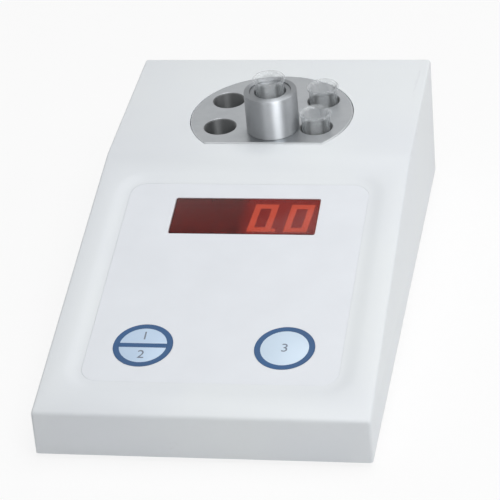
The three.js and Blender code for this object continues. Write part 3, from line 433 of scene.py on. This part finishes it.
def ring_points(x, y, inner, outer, low, high):
    """Points and faces of a flat ring."""
    sides = CIRCLE_SIDES
    rings = ((inner, low), (outer, low), (outer, high), (inner, high))
    points = [(px, py, z) for radius, z in rings for px, py in circle_points(x, y, radius)]
    faces = []
    for level in range(len(rings)):
        up = ((level + 1) % len(rings) - level) * sides
        for i in range(sides):
            a, b = level * sides + i, level * sides + (i + 1) % sides
            faces.append((a, b, b + up, a + up))
    return points, faces


def gather(*parts):
    """Several sets of points and faces as one."""
    points, faces = [], []
    for more_points, more_faces in parts:
        shift = len(points)
        points += more_points
        faces += [tuple(i + shift for i in face) for face in more_faces]
    return points, faces


print("keys at x", {side: round(x, 1) for side, x in key_x.items()})

# %% Key caps, blue rings and the left key's bar
BLUE = (0.012, 0.074, 0.200)
INK = 0.03
RING_OVERLAP, RING_WIDTH = 0.25, 2.0
BAR_HALF, BAR_TUCK = 0.95, 0.1
KEY_COLOURS = {"left": (0.53, 0.67, 0.84), "right": (0.635, 0.765, 0.895)}

blue_ink = plain_finish("blue_ink", BLUE, 0.5, grain=0.6, relief=0.002, tone=0.12)
ring_outer = KEY_RADIUS + RING_OVERLAP
ring_inner = ring_outer - RING_WIDTH
for side, x in key_x.items():
    parts = [ring_points(x, KEY_PLACE, ring_inner, ring_outer, FOIL_TOP, FOIL_TOP + INK)]
    if side == "left":
        bar = rectangle_points(x, KEY_PLACE, ring_inner + BAR_TUCK, BAR_HALF)
        parts.append(slab_points(bar, FOIL_TOP, FOIL_TOP + INK))
    marks = mesh_piece(f"{side}_key_print", *gather(*parts), front_deck, blue_ink.material, f"{side}_key")
for side, colour in KEY_COLOURS.items():
    cap = plain_finish(f"pale_blue_{side}_key_cap", colour, 0.33, grain=0.9, relief=0.004, tone=0.02)
    dress(cap.material, f"{side}_key")
print("printed", len(key_x), "keys")

# %% Grey key numbers
NUMBER_HEIGHT, NUMBER_OFFSET = 3.7, 4.4
NUMBER_SHARE = 0.7
LABELS = {"1": ("left", NUMBER_OFFSET), "2": ("left", -NUMBER_OFFSET), "3": ("right", 0.0)}

grey_ink = plain_finish("grey_ink", (0.16, 0.19, 0.25), 0.5, grain=0.6, relief=0.002, tone=0.15)
for number, (side, offset) in LABELS.items():
    curve = bpy.data.curves.new("number", "FONT")
    curve.body = number
    curve.size = NUMBER_HEIGHT / NUMBER_SHARE
    curve.align_x, curve.align_y = "CENTER", "CENTER"
    curve.extrude = INK / 2
    draft = bpy.data.objects.new("number_draft", curve)
    mesh = bpy.data.meshes.new_from_object(draft)
    bpy.data.objects.remove(draft)
    mesh.transform(front_deck @ Matrix.Translation((key_x[side], KEY_PLACE + offset, FOIL_TOP + INK / 2)))
    mesh.materials.clear()
    mesh.materials.append(grey_ink.material)
    label = bpy.data.objects.new(f"{side}_key_number_{number}", mesh)
    bpy.context.scene.collection.objects.link(label)
    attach(label, f"{side}_key")
print("numbered the keys", list(LABELS))

# %% [markdown]
# ## Red window
#
# The display's window is a dark red plastic filter. It lets the light of the lit bars through and
# hides what is unlit. A see-through shader over real digits is the honest way to make it, because
# then the bars sit behind the window from every side, as on the real thing.

# %% Window finish
FILTER_LOW, FILTER_HIGH = (0.46, 0.10, 0.078), (0.54, 0.12, 0.092)
window_finish = Finish("red_window_filter", (0.50, 0.11, 0.085), 0.22, Transmission_Weight=1.0, IOR=1.25)
haze = window_finish.noise(5, 3)
window_finish.link(window_finish.span(haze, 0.3, 0.7, 0.18, 0.26), "Roughness")
window_finish.link(window_finish.blend(haze, FILTER_LOW, FILTER_HIGH), "Base Color")
window_finish.bump(window_finish.noise(2.5, 2), 0.003)
dress(window_finish.material, "display_window")
print("window finish:", window_finish.material.name)

# %% [markdown]
# ## Lit digits
#
# Each digit is a block with a dark face, seven slanted bars and a point. The two on the right are
# lit and read 0.0. Lit bars glow with an even, modest emission: strong enough to read through the
# filter, and weak enough to keep their colour. The dark face round them and the unlit bars have a
# painted glow of that light, an emission that grows towards the lit digits.

# %% Outlines of seven bars
DIGIT_HALF_WIDTH, DIGIT_HALF_HEIGHT = 3.0, 6.0
BAR_WIDTH, BAR_GAP, BAR_NOTCH = 2.2, 0.02, 0.4


def digit_bars():
    """Outlines of the seven bars of one digit about its middle, with mitred corners."""
    w, h, b, g, n = DIGIT_HALF_WIDTH, DIGIT_HALF_HEIGHT, BAR_WIDTH / 2, BAR_GAP, BAR_NOTCH
    top = [(w - b - g, h - b), (w + b - g, h + b), (-w - b + g, h + b), (-w + b + g, h - b)]
    right_upper = [(w - b, n + g), (w - b + n, g), (w + b, g), (w + b, h + b - g), (w - b, h - b - g)]
    middle = [(-w + b, -n), (-w + 2 * b, -b), (w - 2 * b, -b), (w - b, -n), (w - b, n), (w - 2 * b, b),
              (-w + 2 * b, b), (-w + b, n)]

    def mirrored(outline, sx, sy):
        points = [(x * sx, y * sy) for x, y in outline]
        return points if sx * sy > 0 else points[::-1]

    return [top, right_upper, mirrored(right_upper, 1, -1), mirrored(top, 1, -1),
            mirrored(right_upper, -1, -1), mirrored(right_upper, -1, 1), middle]


print("a digit has", len(digit_bars()), "bars")

# %% Finishes of lit bars and of the dark face
FACE_COLOUR = (0.15, 0.10, 0.09)
GLOW_LOW, GLOW_HIGH = (0.74, 0.46, 0.26), (0.84, 0.54, 0.30)
# Colours of the painted glow that stands in for the lit digits' light on the dark face.
SPILL_LOW, SPILL_HIGH, SPILL_FAR = (0.22, 0.02, 0.002), (0.31, 0.03, 0.003), (0.035, 0, 0)
SPILL_START, SPILL_END = -2.0, 3.0
UNLIT_SHARE = 0.9

lit_bar = Finish("lit_display_bar", (0.3, 0.14, 0.1), 0.6, Emission_Strength=1.0)
glow = lit_bar.noise(1.2, 2)
lit_bar.link(lit_bar.blend(glow, GLOW_LOW, GLOW_HIGH), "Emission Color")
lit_bar.bump(glow, 0.01)


def display_finish(name, brightness):
    """Dark display face with a painted glow of the lit digits' light, the stronger the nearer it is to them.
    """
    colour = tuple(c * brightness for c in FACE_COLOUR)
    finish = plain_finish(name, colour, 0.6, grain=0.5, relief=0.01, tone=0.15, Emission_Strength=1.0)
    x = finish.add("ShaderNodeSeparateXYZ", {0: finish.place}).outputs["X"]
    # Painted glow: emission on the face that grows towards the lit digits.
    near = finish.span(x, SPILL_START * MM, SPILL_END * MM, 0, brightness)
    spill = finish.blend(finish.noise(4, 2), SPILL_LOW, SPILL_HIGH)
    finish.link(finish.blend(near, SPILL_FAR, spill), "Emission Color")
    return finish


face_finish = display_finish("dark_display_face", 1.0)
unlit_bar = display_finish("unlit_display_bar", UNLIT_SHARE)
print("display finishes:", face_finish.material.name, unlit_bar.material.name, lit_bar.material.name)

# %% Face sheet and seven-bar digits
DIGIT_PITCH, DIGIT_COUNT = 12.7, 4
DIGIT_TOP = -1.9
DIGIT_SLANT = math.tan(math.radians(6))
SHEET_HEIGHT, BAR_HEIGHT = 0.04, 0.04
FACE_HALF_LENGTH = 8.0
ZERO = (True, True, True, True, True, True, False)
LIT = {2: ZERO, 3: ZERO}
POINT_X, POINT_Y, POINT_RADIUS, POINT_SIDES = 5.0, -6.3, 0.9, 24
POINT_DIGIT = 2

dress(face_finish.material, *[f"digit_{i + 1}" for i in range(DIGIT_COUNT)])
face = rectangle_points(WINDOW_X, WINDOW_PLACE, DIGIT_COUNT * DIGIT_PITCH / 2 - CAD_GAP / 2, FACE_HALF_LENGTH)
face_sheet = mesh_piece("display_face_sheet", *slab_points(face, DIGIT_TOP, DIGIT_TOP + SHEET_HEIGHT),
                        front_deck, face_finish.material, "case")
bar_low, bar_high = DIGIT_TOP + SHEET_HEIGHT, DIGIT_TOP + SHEET_HEIGHT + BAR_HEIGHT
for digit in range(DIGIT_COUNT):
    middle = WINDOW_X + (digit - (DIGIT_COUNT - 1) / 2) * DIGIT_PITCH
    lit_parts, dark_parts = [], []
    for bar, outline in enumerate(digit_bars()):
        slanted = [(middle + x + y * DIGIT_SLANT, WINDOW_PLACE + y) for x, y in outline]
        part = slab_points(slanted, bar_low, bar_high)
        (lit_parts if digit in LIT and LIT[digit][bar] else dark_parts).append(part)
    point = circle_points(middle + POINT_X + POINT_Y * DIGIT_SLANT, WINDOW_PLACE + POINT_Y, POINT_RADIUS,
                          POINT_SIDES)
    (lit_parts if digit == POINT_DIGIT else dark_parts).append(slab_points(point, bar_low, bar_high))
    for word, parts, finish in (("lit", lit_parts, lit_bar), ("unlit", dark_parts, unlit_bar)):
        if parts:
            bars = mesh_piece(f"digit_{digit + 1}_{word}_bars", *gather(*parts), front_deck,
                              finish.material, "case")
print("drew", DIGIT_COUNT, "digits of seven bars,", len(LIT), "of them lit")

# %% [markdown]
# ## Heated block
#
# The block is aluminium, faced and lightly blasted, so its top is bright but scatters light, with
# a few smears and streaks. A metal reads by what it reflects, so its colour stays mid grey and its
# roughness does most of the work. Its outer wall, just under the top edge, has painted light: a
# pale colour there lightens the dark line of shade along the gap round the block. Its bores have
# painted shade: their walls take a darker colour than the top. They are also duller, and the
# reamer's grain in them draws a soft line down each wall. All this is one material, which tells
# top, rim and bore apart by the place of a point on the block.

# %% Block finish, the blasted top
BLOCK_TOP = 0.3
TOP_LOW, TOP_HIGH = (0.315, 0.33, 0.345), (0.375, 0.39, 0.405)
block_finish = Finish("blasted_aluminium", (0.39, 0.405, 0.42), 0.38, metallic=1.0)
smear = block_finish.noise(9, 4)
streaks = block_finish.noise(1.2, 4, stretch=(1, 14, 1))
tone = block_finish.weigh(smear, streaks, 0.65)
top_colour = block_finish.blend(block_finish.span(tone, 0.35, 0.65, 0, 1), TOP_LOW, TOP_HIGH)
top_roughness = block_finish.span(tone, 0.35, 0.65, 0.44, 0.3)
block_finish.bump(block_finish.noise(0.25, 2), 0.012, 0.5)
print("block's top", BLOCK_TOP, "mm over the slope")

# %% Block finish, where its walls and its rim are
BLOCK_X, BLOCK_PLACE, BLOCK_RADIUS, BLOCK_FRONT = 1.0, 28.2, 29.8, 7.4
RIM_DEPTH, RIM_FADE = 1.2, 0.4
WALL_START, WALL_END = 0.05, 0.15
DECK_AXIS = (0.0, -math.sin(rear_slope), math.cos(rear_slope))
DECK_ALONG = (0.0, math.cos(rear_slope), math.sin(rear_slope))
DECK_START = (0.0, (BEND_DEPTH - CASE_DEPTH / 2) * MM, (BEND_HEIGHT + FOOT_HEIGHT) * MM)

block_middle = rear_deck @ Vector((BLOCK_X, BLOCK_PLACE, 0))
from_middle = block_finish.vector("DISTANCE", block_finish.place, tuple(block_middle))
from_start = block_finish.vector("SUBTRACT", block_finish.place, DECK_START)
height = block_finish.vector("DOT_PRODUCT", from_start, DECK_AXIS)
along = block_finish.vector("DOT_PRODUCT", from_start, DECK_ALONG)
below = block_finish.span(height, (BLOCK_TOP - WALL_START) * MM, (BLOCK_TOP - WALL_END) * MM, 0, 1)
round_rim = block_finish.span(from_middle, (BLOCK_RADIUS - RIM_DEPTH - RIM_FADE) * MM,
                              (BLOCK_RADIUS - RIM_DEPTH) * MM, 0, 1)
front_rim = block_finish.span(along, (BLOCK_FRONT + RIM_DEPTH) * MM,
                              (BLOCK_FRONT + RIM_DEPTH - RIM_FADE) * MM, 0, 1)
rim = block_finish.math("MAXIMUM", round_rim, front_rim)
print("block's middle in mm:", [round(c / MM, 1) for c in block_middle])

# %% Block finish, painted shade in the bores and painted light on the rim
# Painted shade: darker colours for the bore walls. Painted light: a pale colour for the outer wall under the
# rim.
BORE_PAINTED_SHADE_LOW, BORE_PAINTED_SHADE_HIGH, RIM_PAINTED_LIGHT = (0.20, 0.208, 0.213), (0.25, 0.258, 0.263), (0.70, 0.72, 0.74)
WALL_ROUGHNESS = 0.72
# Bore walls get the painted shade, and the outer wall under the rim gets the painted light.
wall_painted_shade_and_light = block_finish.blend(rim, block_finish.blend(smear, BORE_PAINTED_SHADE_LOW, BORE_PAINTED_SHADE_HIGH), RIM_PAINTED_LIGHT)
block_finish.link(block_finish.blend(below, top_colour, wall_painted_shade_and_light), "Base Color")
roughness = block_finish.add("ShaderNodeMix", {0: below, 2: top_roughness, 3: WALL_ROUGHNESS})
block_finish.link(roughness.outputs[0], "Roughness")
block_finish.link(below, "Anisotropic")
bore_axis = block_finish.add("ShaderNodeVectorTransform", {0: DECK_AXIS}, vector_type="VECTOR",
                             convert_from="OBJECT", convert_to="WORLD")
lengthwise = block_finish.add("ShaderNodeMix", {0: below, 4: (1, 0, 0), 5: bore_axis.outputs[0]},
                              data_type="VECTOR")
block_finish.link(lengthwise.outputs[1], "Tangent")
dress(block_finish.material, "heater_block")
print("block finish:", block_finish.material.name)

# %% [markdown]
# ## Plain inner and lower pieces
#
# The pieces inside the case and under it show only when the case is opened or turned over. Each
# still gets its own finish with some tone, sheen and relief, from one shared recipe. The numbers
# after each colour are its roughness, how metallic it is, its grain and relief in millimetres, and
# how much its tone varies.

# %% Finishes of the remaining CAD nodes
CORNERS = ("front_left", "rear_left", "front_right", "rear_right")
PLAIN_FINISHES = {
    "black_moulded_plastic": (
        ((0.020, 0.021, 0.023), 0.48, 0.0, 0.5, 0.012, 0.12),
        ("left_key_switch", "right_key_switch", "ball_sensor", "rotor_pulley", "heater_left",
         "heater_right", "processor_chip", "voltage_regulator", "buzzer", "power_inlet",
         "power_switch_frame", "power_rocker")),
    "green_board_lacquer": (
        ((0.025, 0.13, 0.055), 0.35, 0.0, 1.5, 0.01, 0.15),
        ("display_board", "key_board", "main_board")),
    "zinc_plated_sheet": (
        ((0.52, 0.53, 0.54), 0.36, 1.0, 1.6, 0.01, 0.08),
        ("base_plate", "drive_plate", "drive_motor")),
    "polished_steel": (
        ((0.62, 0.63, 0.65), 0.16, 1.0, 0.8, 0.003, 0.05),
        ("upper_bearing", "lower_bearing", "motor_shaft", "temperature_sensor",
         *[f"case_screw_{corner}" for corner in CORNERS])),
    "turned_brass": (
        ((0.55, 0.39, 0.14), 0.28, 1.0, 0.8, 0.005, 0.08),
        ("bearing_spacer", "motor_pulley", "block_post_front_right", "block_post_left",
         "block_post_rear")),
    "matt_black_rubber": (
        ((0.022, 0.022, 0.023), 0.8, 0.0, 0.6, 0.03, 0.15),
        ("drive_belt", *[f"foot_{corner}" for corner in CORNERS])),
    "grey_cell_foam": (
        ((0.07, 0.074, 0.08), 0.92, 0.0, 0.7, 0.12, 0.25),
        ("block_insulation",)),
    "grey_cable_sheath": (
        ((0.32, 0.33, 0.35), 0.55, 0.0, 0.8, 0.01, 0.06),
        ("display_ribbon", "key_ribbon", "power_lead")),
    "ivory_plunger_plastic": (
        ((0.68, 0.68, 0.64), 0.45, 0.0, 0.6, 0.008, 0.04),
        ("left_key_plunger", "right_key_plunger")),
}
plain = {}
for name, (recipe, pieces) in PLAIN_FINISHES.items():
    plain[name] = plain_finish(name, *recipe)
    dress(plain[name].material, *pieces)
bare = [name for name, node in nodes.items()
        if not node.data.materials or not node.data.materials[0].use_nodes]
print("nodes without a finish:", bare)

# %% [markdown]
# ## Clear cuvettes and steel balls
#
# A cuvette is a small clear cup with a thicker rim, and a steel ball lies at its foot. The ball is
# what the sensor follows as plasma clots. Each cup is turned again here as one closed, finer
# profile, with an inside and an outside wall. Clear plastic shows mostly where its wall is seen
# edge on. Where the wall faces the eye, a soft pale band is a painted reflection of a window.
# Elsewhere the wall is nearly see-through, with a faint pale veil that is part haze and part
# painted reflection. Layer Weight tells these apart by the angle of the wall to the eye. Bending
# the light through the thin walls would also do, at the price of many more light paths.

# %% Points of a turned piece
TURN_SIDES = 64
ON_AXIS = 1e-9


def turned_points(profile, x, y, sides=TURN_SIDES):
    """Points and faces of a closed profile of [radius, height] turned about an upright axis."""
    points, rows = [], []
    for radius, height in profile:
        if radius < ON_AXIS:
            rows.append([len(points)] * sides)
            points.append((x, y, height))
            continue
        rows.append([len(points) + i for i in range(sides)])
        points += [(px, py, height) for px, py in circle_points(x, y, radius, sides)]
    faces = []
    for low, high in zip(rows, rows[1:]):
        for i in range(sides):
            j = (i + 1) % sides
            corners = list(dict.fromkeys((low[i], low[j], high[j], high[i])))
            if len(corners) > 2:
                faces.append(tuple(corners))
    return points, faces


print("a turned piece has", TURN_SIDES, "sides")

# %% Profile of a cuvette
CUVETTE_LENGTH, CUVETTE_RADIUS, CUVETTE_WALL = 29.1, 5.2, 0.75
RIM_RADIUS, RIM_HEIGHT, RIM_EDGE = 5.85, 1.1, 0.25
TOE, TOE_STEPS = 1.6, 5


def cuvette_profile(top):
    """Outside from the foot up to the rim, then down the inside."""
    foot, inside = top - CUVETTE_LENGTH, CUVETTE_RADIUS - CUVETTE_WALL
    rim_low, floor_height = top - RIM_HEIGHT, top - CUVETTE_LENGTH + CUVETTE_WALL
    rim_inside = RIM_RADIUS - CUVETTE_WALL
    quarter = [math.pi / 2 * i / TOE_STEPS for i in range(TOE_STEPS + 1)]
    toe = [(CUVETTE_RADIUS - TOE + TOE * math.sin(a), foot + TOE - TOE * math.cos(a)) for a in quarter]
    inner_toe = [(inside - TOE + TOE * math.cos(a), floor_height + TOE - TOE * math.sin(a)) for a in quarter]
    outside = [(CUVETTE_RADIUS, rim_low), (RIM_RADIUS - RIM_EDGE, rim_low), (RIM_RADIUS, rim_low + RIM_EDGE),
               (RIM_RADIUS, top - RIM_EDGE), (RIM_RADIUS - RIM_EDGE, top)]
    mouth = [(rim_inside + RIM_EDGE, top), (rim_inside, top - RIM_EDGE), (inside, rim_low)]
    return [(0, foot)] + toe + outside + mouth + inner_toe + [(0, floor_height)]


print("a cuvette's profile has", len(cuvette_profile(0)), "points")

# %% Clear plastic finish
# Pale colours of the painted reflection band and of the faint veil, which is part haze and part painted
# reflection.
HAZE_AND_REFLECTION_LOW, HAZE_AND_REFLECTION_HIGH, EDGE_GREY = (0.74, 0.78, 0.80), (0.84, 0.87, 0.89), (0.27, 0.29, 0.31)
REFLECTION_BAND_START, REFLECTION_BAND_END, REFLECTION_BAND_COVER = 0.30, 0.14, 0.26
CLEAR_COVER, EDGE_COVER = 0.05, 0.95
clear_finish = Finish("clear_cuvette_plastic", (0.33, 0.355, 0.37), 0.08, IOR=1.5)
cast = clear_finish.noise(3, 3)
clear_finish.link(clear_finish.span(cast, 0.3, 0.7, 0.05, 0.11), "Roughness")
facing = clear_finish.add("ShaderNodeLayerWeight", {"Blend": 0.5}).outputs["Facing"]
edge_on = clear_finish.math("POWER", facing, 2.0)
# Painted reflection: the pale colour shown in the band and in the faint veil, which is part haze.
haze_and_reflection = clear_finish.blend(cast, HAZE_AND_REFLECTION_LOW, HAZE_AND_REFLECTION_HIGH)
clear_finish.link(clear_finish.blend(edge_on, haze_and_reflection, EDGE_GREY), "Base Color")
# Painted reflection of a window, strongest where the wall faces the eye.
painted_reflection_band = clear_finish.span(facing, REFLECTION_BAND_START, REFLECTION_BAND_END, 0, REFLECTION_BAND_COVER)
cover = clear_finish.span(edge_on, 0.04, 1.0, CLEAR_COVER, EDGE_COVER)
clear_finish.link(clear_finish.math("MAXIMUM", cover, painted_reflection_band), "Alpha")
clear_finish.bump(clear_finish.noise(1.5, 2), 0.004)
print("clear finish:", clear_finish.material.name)

# %% Turned cuvettes and balls
TURRET_X, TURRET_PLACE, TURRET_TOP = 3.0, 18.9, 15.7
BORE_OFFSET_X = 17.7
BORE_PLACES = {"front": 19.3, "rear": 39.1}
SHOW, MEASURING_SHOW = 6.2, 5.0
BALL_RADIUS, BALL_STEPS, BALL_SIDES = 1.6, 16, 32
FIT_GAP = 0.3

right_bore_x = BLOCK_X + BORE_OFFSET_X
stands = {"measuring": (TURRET_X, TURRET_PLACE, TURRET_TOP + MEASURING_SHOW)}
for row in ("rear", "front"):
    stands[f"{row}_right"] = (right_bore_x, BORE_PLACES[row], BLOCK_TOP + SHOW)
cups = []
for name, (x, y, top) in stands.items():
    cup = mesh_piece(f"clear_cuvette_{name}", *turned_points(cuvette_profile(top), x, y), rear_deck,
                     clear_finish.material, f"{name}_cuvette")
    cups.append(refine(cup))
    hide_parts(f"cuvette_{name}")
    centre = top - CUVETTE_LENGTH + CUVETTE_WALL + FIT_GAP + BALL_RADIUS
    turns = [math.pi * i / BALL_STEPS for i in range(1, BALL_STEPS)]
    arc = [(BALL_RADIUS * math.sin(a), centre - BALL_RADIUS * math.cos(a)) for a in turns]
    arc = [(0, centre - BALL_RADIUS)] + arc + [(0, centre + BALL_RADIUS)]
    ball = mesh_piece(f"steel_ball_{name}", *turned_points(arc, x, y, BALL_SIDES), rear_deck,
                      plain["polished_steel"].material, f"{name}_cuvette", smooth=True)
    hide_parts(f"ball_{name}")
print("turned", len(stands), "cuvettes with their balls")

# %% [markdown]
# ## Turned turret and rotor
#
# A lathe leaves fine grooves that run round the metal, so a highlight spreads along the axis and
# stays narrow across it. The shader's anisotropy makes that from a tangent that circles the
# piece's own Z axis. That axis has to be the turned axis, so these two pieces get a mesh about
# their own origin instead of the CAD mesh, whose origin is the middle of the whole analyzer.
# The CAD solids keep 0.3 mm between pieces. Here the turret goes down to the block, and the rotor's
# rim leaves only a fine running gap, as on the real metal.

# %% Turret finish
TURNED_LOW, TURNED_HIGH = (0.23, 0.242, 0.255), (0.28, 0.292, 0.305)
turret_finish = Finish("turned_aluminium", TURNED_HIGH, 0.5, metallic=1.0, Anisotropic=0.85,
                       Anisotropic_Rotation=0.25)
grooves = turret_finish.noise(0.9, 5, stretch=(0.05, 0.05, 9))
turned_colour = turret_finish.blend(turret_finish.noise(6, 3), TURNED_LOW, TURNED_HIGH)
turret_finish.link(turned_colour, "Base Color")
turret_finish.link(turret_finish.span(grooves, 0.3, 0.7, 0.44, 0.54), "Roughness")
turret_finish.bump(grooves, 0.004, 0.3)
around = turret_finish.add("ShaderNodeTangent", direction_type="RADIAL", axis="Z")
turret_finish.link(around.outputs[0], "Tangent")
print("turret finish:", turret_finish.material.name)

# %% Profiles of the turret and the rotor
TURRET_RADIUS, TURRET_BOTTOM = 9.6, BLOCK_TOP + 0.02
TURRET_EDGE, EDGE_BULGE, FOOT_EDGE, BROKEN_EDGE = 0.5, 0.3, 0.1, 0.15
ROTOR_RADIUS, ROTOR_TOP, BORE_RADIUS = 7.2, 15.2, 5.75
ROTOR_RIM, ROTOR_BASE, RUNNING_GAP = 1.0, 3.0, 0.06
SHAFT_RADIUS, SHAFT_BOTTOM, SHAFT_EDGE = 3.0, -36.0, 0.3

turret_inside = ROTOR_RADIUS + FIT_GAP
bulge = TURRET_EDGE * EDGE_BULGE
turret_profile = [
    (turret_inside, TURRET_BOTTOM), (TURRET_RADIUS - FOOT_EDGE, TURRET_BOTTOM),
    (TURRET_RADIUS, TURRET_BOTTOM + FOOT_EDGE), (TURRET_RADIUS, TURRET_TOP - TURRET_EDGE),
    (TURRET_RADIUS - bulge, TURRET_TOP - bulge), (TURRET_RADIUS - TURRET_EDGE, TURRET_TOP),
    (turret_inside + BROKEN_EDGE, TURRET_TOP), (turret_inside, TURRET_TOP - BROKEN_EDGE),
    (turret_inside, TURRET_BOTTOM)]

rim_radius = turret_inside - RUNNING_GAP
rotor_floor = TURRET_TOP + MEASURING_SHOW - CUVETTE_LENGTH - FIT_GAP
rotor_foot = rotor_floor - ROTOR_BASE
rotor_profile = [
    (0, SHAFT_BOTTOM), (SHAFT_RADIUS - SHAFT_EDGE, SHAFT_BOTTOM), (SHAFT_RADIUS, SHAFT_BOTTOM + SHAFT_EDGE),
    (SHAFT_RADIUS, rotor_foot), (ROTOR_RADIUS, rotor_foot), (ROTOR_RADIUS, ROTOR_TOP - ROTOR_RIM),
    (rim_radius, ROTOR_TOP - ROTOR_RIM), (rim_radius, ROTOR_TOP - BROKEN_EDGE),
    (rim_radius - BROKEN_EDGE, ROTOR_TOP), (BORE_RADIUS + BROKEN_EDGE, ROTOR_TOP),
    (BORE_RADIUS, ROTOR_TOP - BROKEN_EDGE), (BORE_RADIUS, rotor_floor), (0, rotor_floor)]
print("profiles of", len(turret_profile), "and", len(rotor_profile), "points")

# %% Turret and rotor about their own axis
METAL_SIDES = 96


def turned_on_axis(name, profile, body):
    """A turned piece whose own origin lies on the turret's axis."""
    obj = mesh_piece(name, *turned_points(profile, 0, 0, METAL_SIDES), Matrix.Scale(MM, 4),
                     turret_finish.material, body)
    obj.parent = None
    obj.matrix_world = rear_deck @ Matrix.Translation((TURRET_X, TURRET_PLACE, 0)) @ Matrix.Scale(1 / MM, 4)
    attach(obj, body)
    return refine(obj)


turret = turned_on_axis("turned_turret", turret_profile, "case")
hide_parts("measuring_turret")
rotor = turned_on_axis("turned_rotor", rotor_profile, "rotor")
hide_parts("rotor_cup")
print("turned the turret and the rotor")

# %% [markdown]
# ## Floor, background and lamps
#
# The analyzer stands on a plain pale sheet in soft studio light. The background shows pure white
# to the camera, to mirrors and through clear plastic, while a weaker, even sky lights the object.
# Large lamps give the front face its shade and the right side its brightness. Three strips draw
# the bright line and the soft shades on the turned metal. Light linking keeps them off everything
# else, because seen from behind they would wash out the pale case with their glare.

# %% Floor
FLOOR_HALF = 3.0
SHADOW_SHARE = 0.15
floor_mesh = bpy.data.meshes.new("studio_floor")
floor_corners = [(x, y, 0) for x, y in rectangle_points(0, 0, FLOOR_HALF, FLOOR_HALF)]
floor_mesh.from_pydata(floor_corners, [], [(0, 1, 2, 3)])
floor = bpy.data.objects.new("studio_floor", floor_mesh)
bpy.context.scene.collection.objects.link(floor)
floor_finish = plain_finish("pale_floor", (0.86, 0.86, 0.86), 0.8, grain=4, relief=0.01, tone=0.01)
floor_mesh.materials.append(floor_finish.material)
ray = floor_finish.add("ShaderNodeLightPath").outputs
white_sheet = floor_finish.add("ShaderNodeEmission", {"Color": (1, 1, 1, 1), "Strength": 1.0})
direct = floor_finish.math("MAXIMUM", ray["Is Camera Ray"], ray["Is Transmission Ray"])
direct = floor_finish.math("MAXIMUM", direct, ray["Is Glossy Ray"])
share = floor_finish.math("MULTIPLY", direct, 1 - SHADOW_SHARE)
mix = floor_finish.add("ShaderNodeMixShader", {0: share, 1: floor_finish.shader.outputs[0],
                                               2: white_sheet.outputs[0]})
surface = floor_finish.tree.nodes["Material Output"].inputs["Surface"]
floor_finish.tree.links.new(mix.outputs[0], surface)
print("floor laid")

# %% Background that shows white but lights gently
SKY_STRENGTH = 0.24
world = bpy.data.worlds.new("studio")
bpy.context.scene.world = world
world.use_nodes = True
tree = world.node_tree
background = tree.nodes["Background"]
background.inputs["Color"].default_value = (1, 1, 1, 1)
path = tree.nodes.new("ShaderNodeLightPath")
seen = tree.nodes.new("ShaderNodeMath")
seen.operation = "MAXIMUM"
tree.links.new(path.outputs["Is Camera Ray"], seen.inputs[0])
tree.links.new(path.outputs["Is Transmission Ray"], seen.inputs[1])
mirrored = tree.nodes.new("ShaderNodeMath")
mirrored.operation = "MAXIMUM"
tree.links.new(seen.outputs[0], mirrored.inputs[0])
tree.links.new(path.outputs["Is Glossy Ray"], mirrored.inputs[1])
strength = tree.nodes.new("ShaderNodeMapRange")
strength.inputs["To Min"].default_value = SKY_STRENGTH
strength.inputs["To Max"].default_value = 1.0
tree.links.new(mirrored.outputs[0], strength.inputs["Value"])
tree.links.new(strength.outputs[0], background.inputs["Strength"])
print("sky at", SKY_STRENGTH)

# %% Lamps
AIM = Vector((0, 0, 0.03))


def lamp(name, place, width, height, power):
    """A soft rectangular lamp that faces the analyzer."""
    data = bpy.data.lights.new(name, "AREA")
    data.shape = "RECTANGLE"
    data.size, data.size_y = width, height
    data.energy = power
    obj = bpy.data.objects.new(name, data)
    bpy.context.scene.collection.objects.link(obj)
    obj.location = place
    obj.rotation_euler = (AIM - Vector(place)).to_track_quat("-Z", "Y").to_euler()
    return obj


lamp("key_lamp", (0.42, -0.59, 0.97), 0.6, 0.6, 5.2)
lamp("right_lamp", (0.75, 0.0, 0.4), 0.5, 0.5, 0.7)
lamp("overhead_lamp", (0.2, 0.3, 1.2), 0.9, 0.9, 6.3)
turned_pieces = bpy.data.collections.new("turned_pieces")
for obj in [turret, rotor] + cups:
    turned_pieces.objects.link(obj)
for strip in (lamp("strip_lamp", (0.54, -0.86, 0.62), 0.64, 0.6, 21.5),
              lamp("left_strip_lamp", (-0.22, -0.90, 0.62), 0.5, 0.6, 4.6),
              lamp("right_strip_lamp", (1.0, 0.18, 0.62), 0.7, 0.6, 3.5)):
    strip.visible_diffuse = False
    strip.light_linking.receiver_collection = turned_pieces

# %% Plain view of colours
bpy.context.scene.view_settings.view_transform = "Standard"
print("colours show as", bpy.context.scene.view_settings.view_transform)
